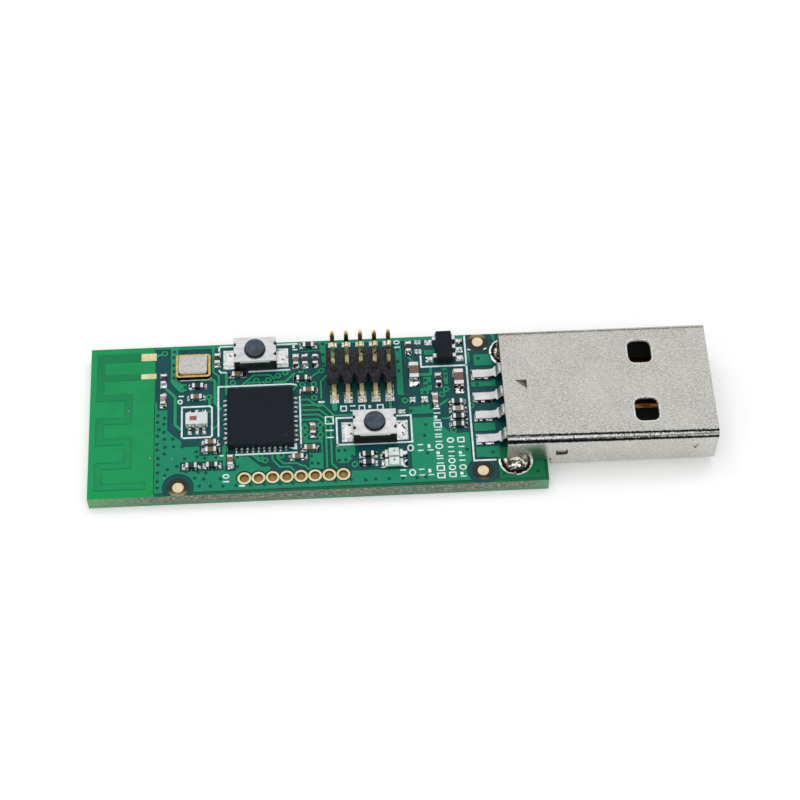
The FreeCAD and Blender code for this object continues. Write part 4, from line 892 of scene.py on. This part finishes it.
def top_film():
    """The green lacquer on the parts' side, open at every land, ring and disc."""
    film = Film()
    film.lay(board_outline, LOW)
    film.lay(box(ANTENNA_END, 0, LENGTH, 0.3), SHORE)
    film.lay(box(0, 0, ANTENNA_END, WIDTH), BRIGHT)
    film.lay(box(LENGTH - 0.25, 0, LENGTH, 3.7), SHORE)
    for outline in top_outlines("printed_antenna"):
        film.lay(grown(outline, 0.1), SHADE)
        film.lay(outline, TRACE)
    for outline in pours:
        film.lay(grown(outline, SLOPE), EDGE)
    for outline in pours:
        film.lay(outline, DEEP if outline is end_pour else HIGH)
    lands = [outline for outline in top_outlines("solder_lands") if turning(outline) > 0]
    for outline in lands:
        film.lay(grown(outline, CLEARING + 0.07), EDGE, (HIGH,))
    for outline in lands:
        film.lay(grown(outline, CLEARING), LOW)
    film.lay(grown(edge_pour, SLOPE), EDGE, (LOW,))
    film.lay(edge_pour, HIGH)
    for width, points in traces:
        film.lay(line(points, width + 2 * SLOPE), EDGE, (LOW,))
    for x, y in ring_spots:
        film.lay(disc(x, y, VIA_RING + SLOPE), EDGE, (LOW,))
    for width, points in traces:
        film.lay(line(points, width), WIRE)
    for x, y in ring_spots:
        film.lay(disc(x, y, VIA_RING), WIRE)
        film.lay(disc(x, y, VIA_RADIUS - 0.01, 12), PIT)
    for x, y in via_spots:
        film.lay(disc(x, y, VIA_RADIUS, 12), PIT)
    for outline in lands + top_outlines("antenna_lands"):
        film.lay(grown(outline, OPENING), OPEN)
    # A dark edge of painted shade stands round each plated ring.
    for outline in top_outlines("hole_rings"):
        if turning(outline) > 0:
            film.lay(grown(outline, 0.14), EDGE)
            film.lay(grown(outline, OPENING), OPEN)
    # Each disc lies in a clearing that was etched and left bare.
    for outline in top_outlines("alignment_discs"):
        for out, kind in ((0.92, EDGE), (0.85, LOW), (0.5, EDGE), (0.45, BARE), (0.01, OPEN)):
            film.lay(grown(outline, out), kind)
    levels = {
        LOW: (OVER_LAMINATE, mask_on_laminate), BRIGHT: (OVER_LAMINATE, mask_clear),
        SHORE: (OVER_LAMINATE, mask_on_shore), EDGE: (0, mask_on_edge), SHADE: (0, mask_by_antenna),
        HIGH: (OVER_COPPER, mask_on_copper), WIRE: (OVER_COPPER, mask_on_wire),
        DEEP: (OVER_COPPER, mask_in_plug_shade), TRACE: (OVER_COPPER, mask_on_antenna),
        PIT: (IN_VIA, mask_in_via), BARE: (ETCHED, brown_laminate),
    }
    return film.build("top_mask", levels, THICKNESS)


def board_body():
    """The laminate without its films: the board's plate with its round holes and its leg holes."""
    plate = Film()
    plate.lay(board_outline, LOW)
    for x, y in side_holes:
        plate.lay(disc(x, y, DRILL, 32), OPEN)
    for spot in leg_spots:
        plate.lay(box_round(spot, LEG_X, LEG_Y), OPEN)
    return plate.build("board_plate", {LOW: (THICKNESS, laminate)}, FOIL)


def bottom_film():
    """The lacquer on the table's side: one pour up to the antenna, with the vias and the hole rings."""
    film = Film()
    film.lay(board_outline, LOW)
    pour = box(6.0, 0.3, 41.05, 15.7)
    film.lay(grown(pour, SLOPE), EDGE)
    film.lay(pour, HIGH)
    for x, y in via_spots + ring_spots:
        film.lay(disc(x, y, VIA_RADIUS, 12), PIT)
    for x, y in side_holes:
        film.lay(disc(x, y, DRILL + UNDER_RING + 0.12), PIT)
        film.lay(disc(x, y, DRILL + UNDER_RING, 32), BARE)
        film.lay(disc(x, y, DRILL, 32), OPEN)
    for spot in leg_spots:
        film.lay(box_round(spot, LEG_X + UNDER_SOLDER + 0.1, LEG_Y + UNDER_SOLDER + 0.1), PIT)
        film.lay(box_round(spot, LEG_X + UNDER_SOLDER, LEG_Y + UNDER_SOLDER), SHORE)
        film.lay(box_round(spot, LEG_X, LEG_Y), OPEN)
    levels = {
        LOW: (UNDER_LAMINATE, mask_clear), EDGE: (0, mask_on_edge), HIGH: (0, mask_on_copper),
        PIT: (UNDER_VIA, mask_in_via), BARE: (0, gold), SHORE: (0, bead_solder),
    }
    return film.build("bottom_mask", levels, FOIL)


fix(top_film())
plate = board_body()
fix(plate)
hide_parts("circuit_board")
fix(bottom_film())


def hole_barrels():
    """Plated walls of the side holes, as thin tubes."""
    points, faces = [], []
    outer, inner, top = DRILL + 0.001, DRILL - 0.03, THICKNESS + 0.03
    count = 32
    for x, y in side_holes:
        first = len(points)
        for radius, z in ((outer, 0), (outer, top), (inner, top), (inner, 0)):
            points += [at(a, b, z) for a, b in disc(x, y, radius, count)]
        for ring in range(4):
            join_rings(faces, first + ring * count, first + (ring + 1) % 4 * count, count)
    return sheet_mesh("hole_barrels", points, faces)


fix(hole_barrels(), barrel_gold())


# Ink on the mask

def prisms(name, outlines, low, high):
    """Flat raised shapes between two heights, one for each outline."""
    points, faces = [], []
    for outline in outlines:
        count = len(outline)
        first = len(points)
        points += [at(x, y, low) for x, y in outline] + [at(x, y, high) for x, y in outline]
        faces.append([first + step for step in range(count)][::-1])
        faces.append([first + count + step for step in range(count)])
        join_rings(faces, first, first + count, count)
    return sheet_mesh(name, points, faces)


def mark(kind, x, y, across, along):
    """One plain mark in a cell: a frame, two bars, one bar, a block with a bar, or a round ring."""
    left, right = x - across / 2, x + across / 2
    low, high = y - along / 2, y + along / 2
    stroke = 0.12
    half = stroke / 2
    if kind == "frame":
        path = [(left, low), (right, low), (right, high), (left, high), (left, low)]
        return [line(path, stroke, False)]
    if kind == "bars":
        return [box(left, low - half, right, low + half), box(left, high - half, right, high + half)]
    if kind == "bar":
        return [box(left, y - half, right, y + half)]
    if kind == "block":
        return [box(left, y - half, x, high), box(left, low - half, right, low + half)]
    turn = np.arange(13) * math.pi / 6
    path = [(x + across / 2 * math.cos(t), y + along / 2 * math.sin(t)) for t in turn]
    return [line(path, stroke, False)]


def row(start, step, kinds, across, along):
    """A row of marks, each one step after the last."""
    found = []
    for index, kind in enumerate(kinds.split()):
        found += mark(kind, start[0] + index * step[0], start[1] + index * step[1], across, along)
    return found


PEN = 0.16
THIN_PEN = 0.128
ink_lines = [
    [(11.75, 6.0), (11.75, 11.32), (18.45, 11.32), (18.9, 11.2)],
    [(19.22, 4.85), (19.22, 9.9)],
    [(13.3, 3.95), (18.8, 3.95)],
    [(8.42, 5.95), (11.0, 5.95), (11.16, 6.1), (11.16, 9.1), (11.0, 9.26), (8.42, 9.26), (8.42, 5.95)],
    [(22.5, 4.55), (29.3, 4.55), (29.3, 7.4), (22.5, 7.4), (22.5, 4.45)],
    [(13.2, 15.75), (12.0, 15.75), (11.85, 15.6), (11.85, 15.3)],
    [(17.3, 15.75), (19.1, 15.75)],
    [(11.85, 13.1), (12.0, 12.88), (12.5, 12.85)],
    [(14.6, 12.85), (18.35, 12.9)],
    [(7.9, 12.6), (8.3, 12.2), (10.9, 12.2), (11.05, 12.35)],
    [(34.75, 15.85), (34.75, 2.3), (36.7, 2.3)],
    [(40.4, 2.15), (41.05, 2.15)],
    [(30.55, 13.8), (30.55, 12.6), (34.75, 12.6)],
]
thin_lines = [[(35.0, 14.35), (35.2, 14.28)], [(36.5, 14.28), (36.7, 14.4)]]
# Each row has the middle of its first mark, its step, its marks and the length and width of one.
mark_rows = [
    ((12.4, 1.75), (0, 0), "ring", 0.5, 0.36),
    ((28.4, 15.45), (0, 0), "ring", 0.5, 0.36),
    ((8.25, 9.85), (0, 0), "ring", 0.38, 0.4),
    ((8.35, 10.45), (0, 0), "bar", 0.5, 0.1),
    ((21.85, 5.75), (0, 1.45), "bars frame", 0.7, 0.75),
    ((23.2, 8.4), (0.84, 0), "frame bars frame block frame", 0.5, 0.5),
    ((29.1, 3.9), (0.9, 0), "ring bars block", 0.5, 0.6),
    ((28.3, 1.32), (0.84, 0), "bars ring bars block", 0.5, 0.6),
    ((31.7, 0.9), (0, 0.76), "frame frame bars block ring bars bars frame block bars", 0.62, 0.48),
    ((32.75, 0.95), (0, 0.72), "frame ring ring bars bar ring", 0.55, 0.46),
    ((33.7, 0.95), (0, 0.72), "block ring bar block bar frame", 0.55, 0.46),
    ((18.9, 15.35), (0, 0), "block", 0.45, 0.5),
]
ink_shapes = [line(points, PEN) for points in ink_lines]
ink_shapes += [line(points, THIN_PEN) for points in thin_lines]
ink_shapes += [[(18.1, 4.5), (18.5, 4.3), (18.85, 4.3), (18.85, 4.9), (18.6, 4.9), (18.55, 4.55)]]
ink_shapes += [box(13.55, 0.62, 14.1, 0.8), box(20.92, 9.12, 21.5, 9.3), box(11.85, 3.85, 12.2, 4.0)]
ink_shapes += [box_round((x, y), 0.275, 0.07) for x, y in ((12.4, 1.2), (28.4, 14.9))]
for marks in mark_rows:
    ink_shapes += row(*marks)
screen_print = prisms("screen_print", ink_shapes, THICKNESS + BURIED, SEAT - 0.001)
fix(screen_print, screen_ink())


# Solder beads

def beads(name, spots):
    """Low domes of solder: each has its middle, its length and width, its crown and its foot."""
    points, faces = [], []
    count = 14
    tiers = ((1.0, 0.0), (0.97, 0.5), (0.85, 0.85), (0.6, 0.98))
    for x, y, length, width, high, low in spots:
        first = len(points)
        for spread, rise in tiers:
            for step in range(count):
                turn = step * 2 * math.pi / count
                across, along = math.cos(turn), math.sin(turn)
                square = (across ** 4 + along ** 4) ** -0.25
                points.append(at(x + across * square * spread * length / 2,
                                 y + along * square * spread * width / 2, low + rise * (high - low)))
        points.append(at(x, y, high))
        faces.append([first + step for step in range(count)][::-1])
        last = first + (len(tiers) - 1) * count
        for ring in range(first, last, count):
            join_rings(faces, ring, ring + count, count)
        for step in range(count):
            faces.append([last + step, last + (step + 1) % count, last + count])
    return sheet_mesh(name, points, faces, smooth=True)


def chip_beads():
    """Solder drawn out beside each terminal of the radio chip."""
    found = []
    chip_x, chip_y, half, pitch = 15.61, 7.5, 3.0, 0.5
    long, short, high = 0.36, 0.22, SEAT + 0.09
    for index in range(10):
        side = (index - 4.5) * pitch
        for out in (-half - 0.17, half + 0.17):
            found.append((chip_x + out, chip_y + side, long, short, high))
            found.append((chip_x + side, chip_y + out, short, long, high))
    return found


def balun_beads():
    """Solder round the filter's six terminals: high behind it, and in two steps before it."""
    found = []
    filter_x, filter_y, pitch = 9.8, 7.6, 0.65
    for index in (-1, 0, 1):
        x = filter_x + index * pitch
        found.append((x, filter_y + 0.82, 0.34, 0.36, SEAT + 0.3))
        found.append((x, filter_y - 0.76, 0.3, 0.2, SEAT + 0.16))
        found.append((x, filter_y - 1.08, 0.32, 0.3, SEAT + 0.07))
    return found


def bare_land_beads():
    """Four lumps of solder on each land that has no part."""
    found = []
    lands = ((30.35, 15.35, 0.62, 0.5), (30.35, 14.3, 0.65, 0.6), (29.55, 9.03, 0.6, 0.65),
             (30.65, 9.05, 0.7, 0.7), (28.52, 7.8, 0.75, 0.5))
    share, high = 0.42, SEAT + 0.07
    for x, y, length, width in lands:
        for side in (-length / 4, length / 4):
            for end in (-width / 4, width / 4):
                found.append((x + side, y + end, length * share, width * share, high))
    return found


def stray_balls():
    """Tiny balls of solder that spat onto the mask and stayed."""
    size = 0.13
    spots = ((3.53, 9.12, OVER_LAMINATE), (5.59, 3.99, OVER_LAMINATE),
             (7.55, 3.81, OVER_COPPER), (6.84, 1.83, OVER_COPPER))
    return [(x, y, size, size, low + 0.08, low - 0.01) for x, y, low in spots]


seated = [(*bead, SEAT - BURIED) for bead in chip_beads() + balun_beads() + bare_land_beads()]
fix(beads("solder_beads", seated + stray_balls()), bead_solder)


# Edges of the plug's windows

def window_edges():
    """The edge that the punch rolled over round each window in the plug's top."""
    length, width, corner, sheet = 2.2, 2.5, 0.65, 0.3
    tip_gap, spread = 6.2, 3.1
    mouth, _, top = span("usb_shell")[1]
    x = mouth + LENGTH / 2 - tip_gap
    profile = ((0.12, top - 0.01), (0.11, top + 0.003), (0.06, top + 0.012), (0.01, top),
               (-0.03, top - 0.06), (-0.04, top - 0.16), (-0.04, top - sheet), (0.1, top - sheet))
    points, faces = [], []
    for side in (-spread, spread):
        opening = rounded(x, WIDTH / 2 + side, length, width, corner)
        count = len(opening)
        first = len(points)
        for out, z in profile:
            points += [at(a, b, z) for a, b in grown(opening, out)]
        for ring in range(len(profile)):
            join_rings(faces, first + ring * count, first + (ring + 1) % len(profile) * count, count)
    return sheet_mesh("window_edges", points, faces, smooth=True)


fix(window_edges(), rolled_edge())


# Small marks and dies

def fired_mark():
    """Red-brown glass paste, fired on the balun filter: a small dull field."""
    made, tree = finish("fired_red_brown_paste", "#9c5a50", Roughness=0.5, IOR=1.5)
    return dress(made, mottle(tree, "#a6645a", "#7d4038", 0.08, -0.3, 1), 0.08, 0.004)


def lamp_die():
    """A dark semiconductor chip, sawn and etched, seen through the resin."""
    made, tree = finish("dark_lamp_die", "#4b524e", Roughness=0.35, IOR=1.5)
    return dress(made, mottle(tree, "#39403c", "#69716c", 0.08), 0.1, 0.004)


balun_top = SEAT + 0.75
fix(prisms("balun_mark", [box(9.18, 7.37, 9.82, 7.82)], balun_top - 0.03, balun_top - 0.01),
    fired_mark())
lens_top = SEAT + 0.55
dies = [disc(27.57, y, 0.09, 12) for y in (2.42, 3.38)]
fix(prisms("lamp_dies", dies, lens_top - 0.02, lens_top + 0.004), lamp_die())
chip_top = SEAT + 0.9
dimple = prisms("chip_dimple", [disc(17.9, 5.3, 0.2, 24)], chip_top - 0.02, chip_top + 0.002)
fix(dimple, moulded_epoxy("polished_mould_mark", "#241e20", "#30282a"))


# Set: a white table, two soft panels, a fill light and a pale horizon

def table():
    """White laminate table top: plain, matt. It looks white to the camera and in metal."""
    made, tree = finish("white_table", "#f4f4f4", Roughness=0.9)
    shader = tree.nodes["Principled BSDF"]
    bpy.ops.mesh.primitive_plane_add(size=4)
    floor = bpy.context.object
    floor.name = "table"
    floor.location = (0, 0, -0.01 * MM)
    floor.data.materials.append(made)
    rays = {index: add_node(tree, "ShaderNodeLightPath", out=ray)
            for index, ray in enumerate(("Is Camera Ray", "Is Glossy Ray"))}
    seen = add_node(tree, "ShaderNodeMath", rays, operation="MAXIMUM")
    strength = add_node(tree, "ShaderNodeMath", {0: seen, 1: 0.2}, operation="MULTIPLY")
    shader.inputs["Emission Color"].default_value = (1, 1, 1, 1)
    tree.links.new(strength, shader.inputs["Emission Strength"])


def panel(name, rise, distance, size, radiance, shows=True):
    """A soft panel that faces the board: its rise is in degrees up from the horizon behind it."""
    lamp = bpy.data.lights.new(name, "AREA")
    lamp.shape = "RECTANGLE"
    lamp.size, lamp.size_y = size
    lamp.energy = math.pi * size[0] * size[1] * radiance
    made = bpy.data.objects.new(name, lamp)
    angle = math.radians(rise)
    made.location = (0, distance * math.cos(angle), distance * math.sin(angle))
    made.rotation_euler = (angle - math.pi / 2, 0, 0)
    made.visible_glossy = shows
    bpy.context.collection.objects.link(made)


def surround():
    """A dim room with a pale band round the horizon, the same for every ray."""
    world = bpy.data.worlds.new("dim_room")
    world.use_nodes = True
    tree = world.node_tree
    shade = tree.nodes["Background"]
    height = coordinate(tree, 2, add_node(tree, "ShaderNodeTexCoord", out="Generated"))
    band = {"Value": height, "From Min": 0.16, "From Max": 0.3, "To Min": 1.0, "To Max": 0.1}
    tree.links.new(add_node(tree, "ShaderNodeMapRange", band), shade.inputs["Strength"])
    shade.inputs["Color"].default_value = (1, 1, 1, 1)
    bpy.context.scene.world = world


table()
panel("back_panel", 58, 0.5, (1.2, 0.32), 0.95)
panel("front_panel", 125, 0.5, (1.0, 0.3), 1.5)
panel("fill_panel", 80, 0.6, (0.6, 0.3), 2.3, shows=False)
surround()

# The camera's place, aim, roll and lens were fitted to the photo.
camera = bpy.data.cameras.new("camera")
camera.lens = 92.108
camera.clip_start = 0.01
eye = bpy.data.objects.new("camera", camera)
eye.location = (0.0021086, -0.0992216, 0.1604595)
aim = Vector((0.007729, 0.001107, 0.0016)) - eye.location
roll = Quaternion((0, 0, 1), math.radians(0.308))
eye.rotation_euler = (aim.to_track_quat("-Z", "Y") @ roll).to_euler()
bpy.context.collection.objects.link(eye)
scene = bpy.context.scene
scene.camera = eye
scene.view_settings.view_transform = "Standard"
